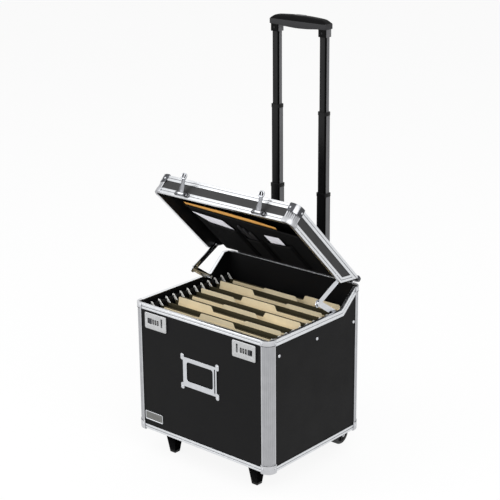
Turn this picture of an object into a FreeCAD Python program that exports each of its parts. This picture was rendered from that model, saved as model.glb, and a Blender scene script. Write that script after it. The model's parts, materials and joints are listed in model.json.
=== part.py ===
import FreeCAD, Part
import math
import os

# A rolling file case with a hinged lid, a telescopic handle and hanging folders, in millimetres.
# Pieces are drawn with the lid shut: x across, y back from the front face, z up from the box's underside.
# The lid's pieces are then opened about the hinge, and all is moved so that the origin is on the floor,
# under the middle of the whole object.

Vector = FreeCAD.Vector
X = Vector(1, 0, 0)
Y = Vector(0, 1, 0)
Z = Vector(0, 0, 1)

# Box
case_width = 430.0
case_depth = 349.0
front_height = 331.0
back_height = 375.0
closed_height = 380.0
kink_y = 271.5
slant_top_y = 323.0
ground_clearance = 65.0
corner_radius = 21.5
panel = 7.0
lid_panel = 3.0

# Edge strips, posts and caps
strip = 1.5
lid_web = 1.2
strip_chamfer = 1.0
groove = 1.6
groove_depth = 0.6
rim_height = 13.0
side_rim_height = 16.0
edge_height = 13.0
lid_edge_height = 14.5
back_web = 5.0
post_width = 24.0
rib_count = 7
rib_radius = 0.8
rib_depth = 0.5
cap_wall = 1.2
cap_reach = 26.0
cap_rivet = (2.4, 1.0)
cap_rivet_inset = 20.0
rim_cap_height = 14.0
base_cap_height = 20.0
base_cap_floor = (4.0, 3.6)
lid_cap_roof = (2.6, 2.2)
lid_rivet = (1.8, 0.8)
lid_rivets_x = (-60.0, 60.0)
lid_rivets_y = (45.0, 150.0, 240.0)

# Lid and its hinge
lid_open_angle = 45.5
lid_gap = 0.3
hinge_y = case_depth + 3.0
hinge_z = back_height + lid_gap / 2
hinge_knuckle = 3.0
hinge_pin_radius = 1.25
hinge_bore = 1.3
hinge_leaf = 1.2
hinge_half_length = 184.0
hinge_segments = 15
hinge_leaf_bottom = 345.0
hinge_clearance = 0.4

# Stays
stay_case_pivot = (261.3, 323.4)
stay_lid_pivot = (281.3, 350.7)
stay_elbow = (199.5, 365.5)
link_radius = 7.2
link_thickness = 2.5
link_gap = 0.3
lower_link_x = 200.7
pivot_radius = 2.5
pivot_clearance = 0.06
elbow_pin = 2.2
elbow_slot_margin = 2.0
elbow_slot_length = 4.6
elbow_slot_start = 0.5
rivet_head = 5.0
elbow_head = 8.5
head_height = 1.3
stay_boss = 6.5
stay_foot = (10.0, 14.0)

# Locks and hasps
lock_x = 141.0
lock_z = 293.0
lock_width = 71.0
lock_height = 41.0
lock_front = -2.5
lock_corner = 4.0
lock_edge = 0.8
lock_screw = (1.9, 0.7)
lock_screw_inset = 4.5
housing = (-27.0, 28.0, 13.5)
housing_back = 8.4
dial_middle = 0.5
dial_pitch = 7.6
dial_radius = 5.0
dial_width = 3.4
dial_sides = 10
dial_y = 1.9
dial_slot = (4.0, 5.6, 7.4)
dial_axle = 1.0
dial_bore = 1.06
slider_front = -4.0
slider_pocket = (-26.0, -13.0, 7.0)
slider_floor = 0.3
knob_width = 8.6
knob_corner = 1.5
stem_slot = (-24.0, -15.0, 2.2)
stem_span = (-19.0, -16.0, 1.9)
shoe_span = (-21.5, -14.0, 5.0)
slide_clearance = 0.4
staple_offset = 20.5
staple_slot = (3.6, 285.5, 305.5, 8.0)
bolt_z = (6.8, 9.2)
bolt_y = (2.7, 5.2)
hasp_axis_y = -4.5
hasp_axis_z = 338.0
hasp_width = 16.0
hasp_thickness = 2.0
hasp_length = 50.0
hasp_neck = (10.0, 13.0, 23.0)
hasp_lean = 26.0
hasp_knuckle = 3.0
hasp_pin = 1.2
hasp_bore = 1.26
hasp_base_width = 40.0
hasp_base_wall = 1.2
hasp_base_span = (1.0, 12.5)
hasp_base_corner = 2.0
hasp_base_knuckle = 3.7
hasp_gap = 0.3
hasp_rivet = (2.2, 0.9)
hasp_rivet_x = 16.0
staple_thickness = 2.6
staple_span = (33.5, 49.5)
staple_depth = 11.0
staple_wall = 1.7

# Label holder and plate on the front
label_z = 190.0
label_size = (108.0, 75.0)
label_window = (84.0, 50.0)
label_window_rise = 2.0
label_front = -0.5
label_corner = 3.0
label_window_corner = 7.0
label_ear = (10.5, 8.0)
label_ear_out = 7.3
label_slit = (46.4, 49.6, 31.0)
label_ear_corner = 4.0
label_rivet = (2.8, 1.1)
label_rivet_inset = 5.5
label_card_margin = (5.0, 4.0)
label_card_gap = 1.0
plate_span = (-187.0, -128.0, 27.0, 50.0)
plate_corner = 2.5

# Rails and folders
rail_lip_x = 191.0
rail_top = 318.5
rail_plate_top = 304.0
rail_shelf_z = 294.0
rail_bottom = 278.0
rail_wall = 1.5
rail_ends = (14.0, 335.0)
rail_rivets_y = (38.0, 177.0, 319.0)
rail_rivet_z = 287.0
rail_rivet = (4.0, 1.3)
folder_count = 6
folder_first_y = 52.0
folder_pitch = 51.0
folder_half_gap = 12.7
folder_half_gusset = 3.5
folder_half_width = 186.0
folder_sheet = 0.8
folder_bottom = 55.0
rod_bottom = 299.0
rod_top = 308.0
rod_thickness = 1.2
rod_bend_x = 178.0
rod_tip_x = 195.0
hook_top = 323.2
hook_seat = 0.2
hook_gap = 0.4
hook_neck = 6.0
hook_tip = 5.0
hook_overhang = 0.8
manila_half_width = 173.0
manila_sheet = 1.2
manila_top = 307.0
manila_tab_top = 320.0
manila_bottom = 85.0
manila_offsets = (10.8, 2.4)
manila_first = 1
tab_cuts = 3
tab_slope = 8.0

# Feet and wheels
foot_x = 135.0
foot_y = 48.0
foot_flange = 44.0
foot_flange_height = 3.0
foot_corner = 5.0
foot_top = 34.0
foot_bottom = 17.0
foot_tip_height = 6.0
wheel_x = 149.0
wheel_y = 348.0
wheel_radius = 27.0
wheel_width = 24.0
hub_radius = 20.0
axle_radius = 4.0
axle_bore = 4.06
arm_gap = 1.0
arm_wall = 2.5
bracket_plate = (42.0, 300.0, 347.0, 2.5)
bracket_corner = 5.0
arm_round = 10.5
arm_inset = 8.0
tyre_round = 3.5
axle_head = 6.5
axle_head_height = 2.0

# Handle
tube_x = 73.0
tube_y = 377.5
tube_sizes = ((31.2, 26.0), (27.6, 22.4), (24.0, 18.8), (20.4, 15.2))
tube_wall = 1.5
tube_corner = 3.2
tube_tops = (380.0, 574.0, 776.0, 985.0)
tube_overlap = 60.0
base_tube_bottom = 18.0
collar_height = 9.0
collar_proud = 0.9
collar_lip = 2.0
slide_gap = 0.3
clamp_half = (19.5, 15.0)
clamp_plate = (98.0, 4.0)
clamp_corner = 5.0
upper_clamp = (305.0, 338.0)
lower_clamp = (12.0, 42.0)
grip_bottom = 956.0
grip_top = 1000.0
grip_shoulder = 986.5
grip_low = 974.5
grip_belly = 2.0
grip_depth = 26.0
grip_half_length = 86.0
grip_corner = 9.0
grip_ledge = 1.2
grip_round = 7.0
socket_half = (12.4, 11.6)
socket_corner = 4.0
button_size = (31.2, 12.2)
button_clearance = 0.4
button_bottom = 992.5
button_top = 1000.8
button_pocket = 990.0
button_corner = 4.0
button_round = 1.0

# Organiser in the lid
organiser_span = (190.0, 20.0, 315.0)
organiser_wall = 3.0
organiser_corner = 8.0
pocket_sheet = 1.5
document_pocket = (-186.0, 186.0, 86.0, 112.0)
document_pocket_foot = 300.0
document_pocket_height = 20.5
card_pockets = ((-140.0, -50.0, 144.0, 156.0), (-42.0, 12.0, 184.0, 184.0), (28.0, 112.0, 179.0, 170.0))
card_pocket_foot = 285.0
card_pocket_height = 6.0

half_width = case_width / 2
inner = strip + panel
lid_bottom = front_height + lid_gap
side_top = [(-10.0, front_height), (kink_y, front_height), (slant_top_y, back_height),
            (case_depth + 10.0, back_height)]
origin_y = (slider_front + tube_y + clamp_half[1]) / 2


# Shapes used by many pieces

def box(x0, x1, y0, y1, z0, z1):
    return Part.makeBox(x1 - x0, y1 - y0, z1 - z0, Vector(x0, y0, z0))


def rod(start, axis, radius, length):
    return Part.makeCylinder(radius, length, start, axis)


def prism(points, sweep):
    face = Part.Face(Part.makePolygon(points + points[:1]))
    return face.extrude(sweep)


def prism_x(points, x0, x1):
    return prism([Vector(x0, y, z) for y, z in points], X * (x1 - x0))


def prism_y(points, y0, y1):
    return prism([Vector(x, y0, z) for x, z in points], Y * (y1 - y0))


def fuse(shapes):
    return shapes[0].multiFuse(shapes[1:]).removeSplitter()


def rounded(shape, axis, radius):
    """Rounds the straight edges that run along the axis."""
    straight = [edge for edge in shape.Edges if isinstance(edge.Curve, Part.Line)]
    edges = [edge for edge in straight if abs(edge.tangentAt(edge.FirstParameter).dot(axis)) > 0.999]
    return shape.makeFillet(radius, edges)


def mirrored(shape):
    return shape.mirror(Vector(0, 0, 0), X)


def pair(shape):
    return [shape, mirrored(shape)]


def offset_line(points, distance):
    """Moves a y-z line towards the body, below and behind it, with mitred corners."""
    normals = []
    for (y0, z0), (y1, z1) in zip(points, points[1:]):
        length = math.hypot(y1 - y0, z1 - z0)
        normals.append(((z1 - z0) / length, (y0 - y1) / length))
    moved = []
    for index, (y, z) in enumerate(points):
        first = normals[max(index - 1, 0)]
        second = normals[min(index, len(normals) - 1)]
        share = distance / (1 + first[0] * second[0] + first[1] * second[1])
        moved.append((y + (first[0] + second[0]) * share, z + (first[1] + second[1]) * share))
    return moved


def band(line, near, far):
    return offset_line(line, near) + offset_line(line, far)[::-1]


def dome(base, axis, radius, height):
    head = rod(base, axis, radius, height)
    rim = [edge for edge in head.Edges if edge.BoundBox.Center.sub(base).dot(axis) > height / 2
           and not isinstance(edge.Curve, Part.Line)]
    return head.makeFillet(height * 0.7, rim)


def opened(shape):
    return shape.rotated(Vector(0, hinge_y, hinge_z), -X, lid_open_angle)


def save(name, shapes):
    group = Part.Compound(shapes)
    group.translate(Vector(0, -origin_y, ground_clearance))
    group.exportStep("parts/" + name + ".step")


def save_lid(name, shapes):
    save(name, [opened(shape) for shape in shapes])


# Corners of the box

def outline(inset, z0, z1):
    block = box(-half_width + inset, half_width - inset, inset, case_depth - inset, z0, z1)
    return rounded(block, Z, corner_radius - inset)


def corner_boxes(reach, z0, z1):
    """The front left, front right, rear left and rear right corners of the box."""
    far = 10.0
    boxes = []
    for y0, y1 in ((-far, reach), (case_depth - reach, case_depth + far)):
        boxes.append(box(-half_width - far, -half_width + reach, y0, y1, z0, z1))
        boxes.append(box(half_width - reach, half_width + far, y0, y1, z0, z1))
    return boxes


def ring(z0, z1, depth):
    """The wall's top as seen from above, between the outer face and the inner one."""
    hole = box(-half_width + depth, half_width - depth, depth, case_depth - depth, z0, z1)
    return outline(0, z0, z1).cut(hole)


def rib_cutters(z0, z1):
    cutters = []
    for turn, (sx, y) in enumerate(((1, case_depth - corner_radius), (-1, case_depth - corner_radius),
                                    (-1, corner_radius), (1, corner_radius))):
        for index in range(rib_count):
            angle = math.radians(90 * (turn + (index + 0.5) / rib_count))
            reach = corner_radius + rib_radius - rib_depth
            x = sx * (half_width - corner_radius) + reach * math.cos(angle)
            cutters.append(rod(Vector(x, y + reach * math.sin(angle), z0), Z, rib_radius, z1 - z0))
    return cutters


def posts(z0, z1, corners):
    shell = outline(0, z0, z1).cut(outline(strip, z0, z1)).cut(Part.Compound(rib_cutters(z0, z1)))
    boxes = corner_boxes(post_width, z0, z1)
    return [shell.common(boxes[corner]) for corner in corners]


def edge_round(block, z, radius):
    """Rounds the edges that lie at the given height."""
    level = [edge for edge in block.Edges if abs(edge.BoundBox.ZMin - z) + abs(edge.BoundBox.ZMax - z) < 1e-3]
    return block.makeFillet(radius, level)


def caps(z0, z1, plate, plate_reach, corners):
    """Corner caps round the posts, each closed by its part of the plate."""
    skin = outline(-cap_wall, z0, z1).cut(outline(0, z0, z1))
    skin_boxes = corner_boxes(cap_reach, z0, z1)
    plate_boxes = corner_boxes(plate_reach, plate.BoundBox.ZMin, plate.BoundBox.ZMax)
    return [fuse([skin.common(skin_boxes[corner]), plate.common(plate_boxes[corner])]) for corner in corners]


def cap_rivets(z, corners):
    """A rivet on the front or back and one on the side of each cap."""
    rivets = []
    for corner in corners:
        sx = 1 if corner % 2 else -1
        front = corner < 2
        face_y = -cap_wall if front else case_depth + cap_wall
        side_y = cap_rivet_inset if front else case_depth - cap_rivet_inset
        face_x = sx * (half_width - cap_rivet_inset)
        rivets.append(dome(Vector(face_x, face_y, z), -Y if front else Y, *cap_rivet))
        rivets.append(dome(Vector(sx * (half_width + cap_wall), side_y, z), X * sx, *cap_rivet))
    return rivets


# Edge strips

def angle(web, flange, thickness=strip):
    """Section of a strip: u across the web from the outer face, v along the flange from the edge."""
    points = [(strip_chamfer, 0), (web, 0), (web, thickness)]
    points += [(strip, thickness), (strip, flange), (0, flange)]
    low, high = (flange - groove) / 2, (flange + groove) / 2
    points += [(0, high), (groove_depth, high), (groove_depth, low), (0, low)]
    return points + [(0, strip_chamfer)]


def lengthwise(section, y_of, z_of):
    span = half_width - post_width
    return prism_x([(y_of(u), z_of(v)) for u, v in section], -span, span)


def crosswise(section, z_of):
    right = prism_y([(half_width - u, z_of(v)) for u, v in section], post_width, case_depth - post_width)
    return pair(right)


def side_strip(line, height, web):
    """A strip that follows the side's top line, right side."""
    reach = box(0, half_width + 1, post_width, case_depth - post_width, 0, closed_height + 1)
    sign = 1 if height > 0 else -1
    flange = prism_x(band(line, 0, height), half_width - strip, half_width)
    top = prism_x(band(line, 0, sign * web), half_width - inner, half_width)
    solid = fuse([flange, top]).common(reach)
    low, high = (height - sign * groove) / 2, (height + sign * groove) / 2
    return solid.cut(prism_x(band(line, low, high), half_width - groove_depth, half_width + 1))


lid_line = offset_line(side_top, -lid_gap)


def under_lid(rise):
    """What lies under the lid's lower line, on the right side."""
    line = offset_line(lid_line, -rise)
    depth = 200.0
    return prism_x(line + [(line[-1][0], depth), (line[0][0], depth)], half_width - 30, half_width + 5)


# Case: panels, strips, posts and caps

def lock_openings():
    left, right, half = housing
    hole = box(left - lock_x, right - lock_x, 0, inner + 1, lock_z - half, lock_z + half)
    return Part.Compound(pair(hole))


def build_panels():
    core = outline(strip, 0, closed_height)
    wall = half_width - inner
    front = box(-wall, wall, strip, inner, inner, front_height - strip)
    back = box(-wall, wall, case_depth - inner, case_depth - strip, inner, back_height - strip)
    side_line = offset_line(side_top, strip)
    side_line += [(case_depth + 10, inner), (-10, inner)]
    side = prism_x(side_line, wall, half_width - strip).common(core)
    bottom = box(-half_width, half_width, 0, case_depth, strip, inner).common(core)
    save("front_panel", [front.common(core).cut(lock_openings())])
    save("back_panel", [back.common(core)])
    save("right_panel", [side])
    save("left_panel", [mirrored(side)])
    save("bottom_panel", [bottom])


def build_strips():
    rim = angle(inner, rim_height)
    front = lengthwise(rim, lambda u: u, lambda v: front_height - v)
    back_rim = angle(back_web, rim_height)
    back = lengthwise(back_rim, lambda u: case_depth - u, lambda v: back_height - v)
    save("case_rims", [front, back] + pair(side_strip(side_top, side_rim_height, strip)))
    edge = angle(edge_height, edge_height)
    front_edge = lengthwise(edge, lambda u: u, lambda v: v)
    back_edge = lengthwise(edge, lambda u: case_depth - u, lambda v: v)
    save("bottom_edges", [front_edge, back_edge] + crosswise(edge, lambda v: v))


def build_corners():
    front, rear = (0, 1), (2, 3)
    save("corner_posts", posts(0, front_height - strip, front) + posts(0, back_height - strip, rear))
    floor, floor_round = base_cap_floor
    base_plate = edge_round(outline(-cap_wall, -floor, 0), -floor, floor_round)
    all_caps = caps(0, base_cap_height, base_plate, cap_reach, front + rear)
    rivets = cap_rivets(base_cap_height / 2, front + rear)
    for height, corners in ((front_height, front), (back_height, rear)):
        rim_plate = ring(height - strip, height, inner)
        all_caps += caps(height - rim_cap_height, height, rim_plate, post_width, corners)
        rivets += cap_rivets(height - rim_cap_height / 2, corners)
    save("case_corner_caps", all_caps)
    for y in rail_rivets_y:
        rivets += pair(dome(Vector(half_width - strip, y, rail_rivet_z), X, *rail_rivet))
    save("case_rivets", rivets)


# Locks

def dial_places():
    return [dial_middle + dial_pitch * step for step in (-1, 0, 1)]


def lock_slot(u0, u1, y0, y1, low, high):
    """A box in the lock, with heights counted from the lock's middle."""
    return box(u0, u1, y0, y1, lock_z + low, lock_z + high)


def dial_axle_rod():
    slot_width = dial_slot[0]
    start = dial_places()[0] - slot_width
    return rod(Vector(start, dial_y, lock_z), X, dial_axle, 2 * (dial_middle - start))


def lock_body():
    plate = lock_slot(-lock_width / 2, lock_width / 2, lock_front, strip, -lock_height / 2, lock_height / 2)
    plate = rounded(plate, Y, lock_corner)
    edge = [e for e in plate.Edges if abs(e.BoundBox.YMax - lock_front) < 1e-3]
    left, right, half = housing
    body = fuse([plate.makeFillet(lock_edge, edge), lock_slot(left, right, strip, housing_back, -half, half)])
    slot_width, slot_half, slot_back = dial_slot
    out, inward, pocket_half = slider_pocket
    stem_out, stem_in, stem_half = stem_slot
    tunnel = (bolt_y[0] - slide_clearance, bolt_y[1] + slide_clearance)
    bolt_low, bolt_high = bolt_z[0] - slide_clearance, bolt_z[1] + slide_clearance
    open_front = lock_front - 1
    width, low, high, back = staple_slot
    cutters = [lock_slot(u - slot_width / 2, u + slot_width / 2, open_front, slot_back, -slot_half, slot_half)
               for u in dial_places()]
    cutters += [
        dial_axle_rod(),
        lock_slot(out, inward, open_front, slider_floor, -pocket_half, pocket_half),
        lock_slot(stem_out, stem_in, slider_floor, tunnel[1], -stem_half, stem_half),
        lock_slot(out, inward, *tunnel, -shoe_span[2] - slide_clearance, bolt_high),
        lock_slot(inward, staple_offset, *tunnel, bolt_low, bolt_high),
        box(staple_offset - width / 2, staple_offset + width / 2, open_front, back, low, high),
    ]
    return body.cut(Part.Compound(cutters))


def lock_slider():
    out, inward, pocket_half = slider_pocket
    knob_end = inward - slide_clearance / 2
    knob_half = pocket_half - slide_clearance
    knob_back = slider_floor - slide_clearance / 2
    knob = lock_slot(knob_end - knob_width, knob_end, slider_front, knob_back, -knob_half, knob_half)
    stem_out, stem_in, stem_half = stem_span
    stem = lock_slot(stem_out, stem_in, knob_back, bolt_y[0], -stem_half, stem_half)
    shoe_out, shoe_in, shoe_low = shoe_span
    shoe = lock_slot(shoe_out, shoe_in, *bolt_y, -shoe_low, bolt_z[1])
    bolt = lock_slot(shoe_in, staple_offset + 1, *bolt_y, *bolt_z)
    return fuse([rounded(knob, Y, knob_corner), stem, shoe, bolt])


def build_locks():
    screw_x, screw_z = lock_width / 2 - lock_screw_inset, lock_height / 2 - lock_screw_inset
    screws = [dome(Vector(sx * screw_x, lock_front, lock_z + sz * screw_z), -Y, *lock_screw)
              for sx in (-1, 1) for sz in (-1, 1)]
    fixed = [lock_body(), dial_axle_rod()] + screws
    slider = lock_slider()

    def left(shape):
        return shape.translated(Vector(-lock_x, 0, 0))

    def right(shape):
        return mirrored(left(shape))

    for side, place in (("left", left), ("right", right)):
        save(side + "_lock_plate", [place(shape) for shape in fixed])
        save(side + "_lock_slider", [place(slider)])
        for number, u in enumerate(dial_places(), 1):
            save(side + "_dial_" + str(number), [place(dial(u))])


def dial(u):
    corners = []
    for index in range(dial_sides):
        turn = 2 * math.pi * (index + 0.5) / dial_sides
        corners.append((dial_y + dial_radius * math.cos(turn), lock_z + dial_radius * math.sin(turn)))
    wheel = prism_x(corners, u - dial_width / 2, u + dial_width / 2)
    return wheel.cut(rod(Vector(u - dial_width, dial_y, lock_z), X, dial_bore, 2 * dial_width))


# Front fittings

def build_front_fittings():
    width, height = label_size
    frame = box(-width / 2, width / 2, label_front, strip, label_z - height / 2, label_z + height / 2)
    parts = [rounded(frame, Y, label_corner)]
    rivets = []
    ear_width, ear_height = label_ear
    for sx in (-1, 1):
        for sz in (-1, 1):
            x = sx * ((width - ear_width) / 2 + label_ear_out)
            z = label_z + sz * height / 2
            ear = box(x - ear_width / 2, x + ear_width / 2, label_front, strip,
                      z - ear_height, z + ear_height)
            parts.append(rounded(ear, Y, label_ear_corner))
            rivet_z = z + sz * (ear_height - label_rivet_inset)
            rivets.append(dome(Vector(x, label_front, rivet_z), -Y, *label_rivet))
    half_x, half_z = label_window[0] / 2, label_window[1] / 2
    middle = label_z + label_window_rise
    window = box(-half_x, half_x, label_front - 1, strip + 1, middle - half_z, middle + half_z)
    card_x, card_z = half_x + label_card_margin[0], half_z + label_card_margin[1]
    card = box(-card_x, width, strip - label_card_gap, strip, middle - card_z, middle + card_z)
    slit_x0, slit_x1, slit_z = label_slit
    slit = box(slit_x0, slit_x1, label_front - 1, strip + 1, label_z - slit_z, label_z + slit_z)
    frame = fuse(parts).cut(rounded(window, Y, label_window_corner)).cut(card).cut(slit)
    save("label_holder", [frame] + rivets)
    x0, x1, z0, z1 = plate_span
    save("name_plate", [rounded(box(x0, x1, 0, strip, z0, z1), Y, plate_corner)])


# Feet and wheels

def build_feet():
    low = -ground_clearance
    seat = strip - foot_flange_height
    span = foot_flange / 2
    flange = rounded(box(-span, span, -span, span, seat, strip), Z, foot_corner)

    def square(size, z):
        reach = size / 2
        return Part.makePolygon([Vector(-reach, -reach, z), Vector(reach, -reach, z), Vector(reach, reach, z),
                                 Vector(-reach, reach, z), Vector(-reach, -reach, z)])

    def width_at(z):
        return foot_bottom + (foot_top - foot_bottom) * (z - low) / (seat - low)

    tip_top = low + foot_tip_height
    column = Part.makeLoft([square(width_at(tip_top), tip_top), square(foot_top, seat)], True, True)
    tip = Part.makeLoft([square(foot_bottom, low), square(width_at(tip_top), tip_top)], True, True)
    foot = fuse([flange, column])
    place = Vector(foot_x, foot_y, 0)
    save("front_feet", pair(foot.translated(place)) + pair(tip.translated(place)))


def build_wheels():
    axle_z = wheel_radius - ground_clearance
    width, front, rear, wall = bracket_plate
    plate = box(wheel_x - width / 2, wheel_x + width / 2, front, rear, -wall, 0)
    arm_line = [(front + arm_inset, -wall / 2), (rear, -wall / 2), (wheel_y + arm_round, axle_z),
                (wheel_y - arm_inset, axle_z - arm_round / 2)]
    parts = [rounded(plate, Z, bracket_corner)]
    inside = wheel_width / 2 + arm_gap
    reach = inside + arm_wall
    for x in (wheel_x - reach, wheel_x + inside):
        parts.append(prism_x(arm_line, x, x + arm_wall))
        parts.append(rod(Vector(x, wheel_y, axle_z), X, arm_round, arm_wall))
    axle = rod(Vector(wheel_x - reach, wheel_y, axle_z), X, axle_radius, 2 * reach)
    bracket = fuse(parts).cut(axle)
    heads = [dome(Vector(wheel_x + sx * reach, wheel_y, axle_z), X * sx, axle_head, axle_head_height)
             for sx in (-1, 1)]
    save("wheel_brackets", pair(bracket) + pair(fuse([axle] + heads)))
    start = Vector(wheel_x - wheel_width / 2, wheel_y, axle_z)
    hub = rod(start, X, hub_radius, wheel_width).cut(rod(start, X, axle_bore, wheel_width))
    tyre = rod(start, X, wheel_radius, wheel_width)
    tread = [edge for edge in tyre.Edges if not isinstance(edge.Curve, Part.Line)]
    tyre = tyre.makeFillet(tyre_round, tread).cut(rod(start, X, hub_radius, wheel_width))
    save("right_wheel_hub", [hub])
    save("right_wheel_tyre", [tyre])
    save("left_wheel_hub", [mirrored(hub)])
    save("left_wheel_tyre", [mirrored(tyre)])


# Rails and folders

def build_rails():
    wall = half_width - inner
    face = wall - rail_wall
    lip = rail_lip_x
    shelf_top = rail_shelf_z + rail_wall
    section = [(wall, rail_bottom), (wall, rail_plate_top), (face, rail_plate_top), (face, shelf_top),
               (lip + rail_wall, shelf_top), (lip + rail_wall, rail_top), (lip, rail_top),
               (lip, rail_shelf_z), (face, rail_shelf_z), (face, rail_bottom)]
    save("file_rails", pair(prism_y(section, *rail_ends)))


def hook_outline():
    """The right half of a folder's rod, from the middle of its lower edge to the middle of its upper edge."""
    seat = rail_top + hook_seat
    near, far = rail_lip_x - hook_gap, rail_lip_x + rail_wall + hook_gap
    tip = rail_top - hook_tip
    return [(0, rod_bottom), (rod_bend_x, rod_bottom), (near, rail_top - hook_neck), (near, seat),
            (far, seat), (far, tip), (rod_tip_x, tip), (rod_tip_x, hook_top),
            (rail_lip_x - hook_overhang, hook_top), (rod_bend_x - 1, rod_top), (0, rod_top)]


def manila_outline(tab):
    """Front view of a folder whose tab is at the given third."""
    third = 2 * manila_half_width / tab_cuts
    start = -manila_half_width + tab * third
    end = start + third
    top = [(-manila_half_width, manila_top)] if tab else []
    top += [(start, manila_top), (start + tab_slope, manila_tab_top)] if tab else [(start, manila_tab_top)]
    last = tab == tab_cuts - 1
    top += [(end, manila_tab_top)] if last else [(end - tab_slope, manila_tab_top), (end, manila_top),
                                                 (manila_half_width, manila_top)]
    return [(manila_half_width, manila_bottom), (-manila_half_width, manila_bottom)] + top


def manila_card(tab, middle, side):
    """A card that leans against the front or the back of the folder it stands in."""
    card = prism_y(manila_outline(tab), -manila_sheet / 2, manila_sheet / 2)
    top_offset, foot_offset = manila_offsets
    lean = math.degrees(math.atan2(side * (top_offset - foot_offset), manila_top - manila_bottom))
    card.rotate(Vector(0, 0, manila_bottom), X, -lean)
    return card.translated(Vector(0, middle + side * foot_offset, 0))


def build_folders():
    hook = hook_outline()
    rod_line = hook + [(-x, z) for x, z in hook[::-1] if x > 0]
    flaps = []
    rods = []
    manila = []
    for index in range(folder_count):
        middle = folder_first_y + folder_pitch * index
        for step, side in enumerate((-1, 1)):
            top = middle + side * folder_half_gap
            foot = middle + side * folder_half_gusset
            flap = [(top - folder_sheet / 2, rod_bottom), (top + folder_sheet / 2, rod_bottom),
                    (foot + folder_sheet / 2, folder_bottom), (foot - folder_sheet / 2, folder_bottom)]
            flaps.append(prism_x(flap, -folder_half_width, folder_half_width))
            rods.append(prism_y(rod_line, top - rod_thickness / 2, top + rod_thickness / 2))
            number = 2 * index + step
            if number >= manila_first:
                manila.append(manila_card(number % tab_cuts, middle, side))
        edge = folder_half_gusset - folder_sheet / 2
        flaps.append(box(-folder_half_width, folder_half_width, middle - edge, middle + edge,
                         folder_bottom, folder_bottom + folder_sheet))
    save("hanging_folders", flaps)
    save("folder_rods", rods)
    save("manila_folders", manila)


# Handle

def tube_block(size, z0, z1, grow=0.0):
    width, depth = size
    block = box(-width / 2 - grow, width / 2 + grow, -depth / 2 - grow, depth / 2 + grow, z0, z1)
    return rounded(block, Z, tube_corner + grow).translated(Vector(tube_x, tube_y, 0))


def tube(size, z0, z1):
    return tube_block(size, z0, z1).cut(tube_block(size, z0, z1, -tube_wall))


def collar(size, inner_size, top):
    low = top - collar_height
    guide = tube_block(size, low, top, collar_proud)
    step = tube_block(size, low, top - collar_lip)
    return guide.cut(step).cut(tube_block(inner_size, low, top, slide_gap))


def build_handle():
    base, first, second, third = tube_sizes
    base_top, first_top, second_top, third_top = tube_tops
    stages = ((base, first, base_tube_bottom, base_top, "handle_base_tubes"),
              (first, second, base_top - tube_overlap, first_top, "handle_stage_1_tubes"),
              (second, third, first_top - tube_overlap, second_top, "handle_stage_2_tubes"))
    for size, inner_size, low, top, name in stages:
        save(name, pair(tube(size, low, top - collar_lip)) + pair(collar(size, inner_size, top)))
    save("handle_stage_3_tubes", pair(tube(third, second_top - tube_overlap, third_top)))
    half_x, half_y = clamp_half
    plate_half, plate_wall = clamp_plate
    clamps = []
    for low, high in (upper_clamp, lower_clamp):
        blocks = [box(-plate_half, plate_half, case_depth, case_depth + plate_wall, low, high)]
        for x in (-tube_x, tube_x):
            blocks.append(box(x - half_x, x + half_x, case_depth, tube_y + half_y, low, high))
        block = fuse(blocks)
        rear = [edge for edge in block.Edges if edge.BoundBox.YMin > tube_y + half_y - 1e-3]
        corners = [edge for edge in rear if edge.BoundBox.ZLength > 1]
        bore = tube_block(base, max(low, base_tube_bottom), high)
        clamps.append(block.makeFillet(clamp_corner, corners).cut(bore).cut(mirrored(bore)))
    save("handle_clamps", clamps)


def arc(start, middle, end):
    return Part.Arc(start, middle, end).toShape()


def grip_wire(y):
    """Front view of the grip's bar, with rounded upper corners and a slightly bowed underside."""
    def at(x, z):
        return Vector(x, y, z)

    end_x = grip_half_length
    bend = grip_corner * math.sqrt(0.5)
    shoulder_x, shoulder_z = end_x - grip_corner, grip_top - grip_corner
    edges = []
    for s in (1, -1):
        edges.append(Part.makeLine(at(s * end_x, grip_low), at(s * end_x, shoulder_z)))
        edges.append(arc(at(s * end_x, shoulder_z), at(s * (shoulder_x + bend), shoulder_z + bend),
                         at(s * shoulder_x, grip_top)))
    edges.append(Part.makeLine(at(-shoulder_x, grip_top), at(shoulder_x, grip_top)))
    edges.append(arc(at(-end_x, grip_low), at(0, grip_low - grip_belly), at(end_x, grip_low)))
    return Part.Wire(Part.__sortEdges__(edges))


def grip_bar():
    """A bar with a ledge along its front and back, and a rounded crown above it."""
    front, back = tube_y - grip_depth / 2, tube_y + grip_depth / 2
    span = grip_half_length
    crown = box(-span, span, front + grip_ledge, back - grip_ledge, grip_bottom, grip_top)
    upper = [edge for edge in crown.Edges
             if edge.BoundBox.ZMin > grip_top - 1e-3 and edge.BoundBox.XLength > 1]
    lower = box(-span, span, front, back, grip_bottom, grip_shoulder)
    core = fuse([lower, crown.makeFillet(grip_round, upper)])
    return Part.Face(grip_wire(front)).extrude(Y * grip_depth).common(core)


def build_grip():
    half_x, half_y = socket_half
    socket = box(-half_x, half_x, -half_y, half_y, grip_bottom, grip_shoulder)
    socket = rounded(socket, Z, socket_corner).translated(Vector(tube_x, tube_y, 0))
    bore = tube_block(tube_sizes[3], grip_bottom - 1, tube_tops[3])
    half_x, half_y = button_size[0] / 2, button_size[1] / 2
    reach_x, reach_y = half_x + button_clearance, half_y + button_clearance
    pocket = box(-reach_x, reach_x, tube_y - reach_y, tube_y + reach_y, button_pocket, grip_top + 1)
    grip = fuse([grip_bar(), socket, mirrored(socket)]).cut(bore).cut(mirrored(bore))
    button = box(-half_x, half_x, tube_y - half_y, tube_y + half_y, button_bottom, button_top)
    button = edge_round(rounded(button, Z, button_corner), button_top, button_round)
    save("grip", [grip.cut(rounded(pocket, Z, button_corner + button_clearance))])
    save("grip_button", [button])


# Hinge and stays

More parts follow.
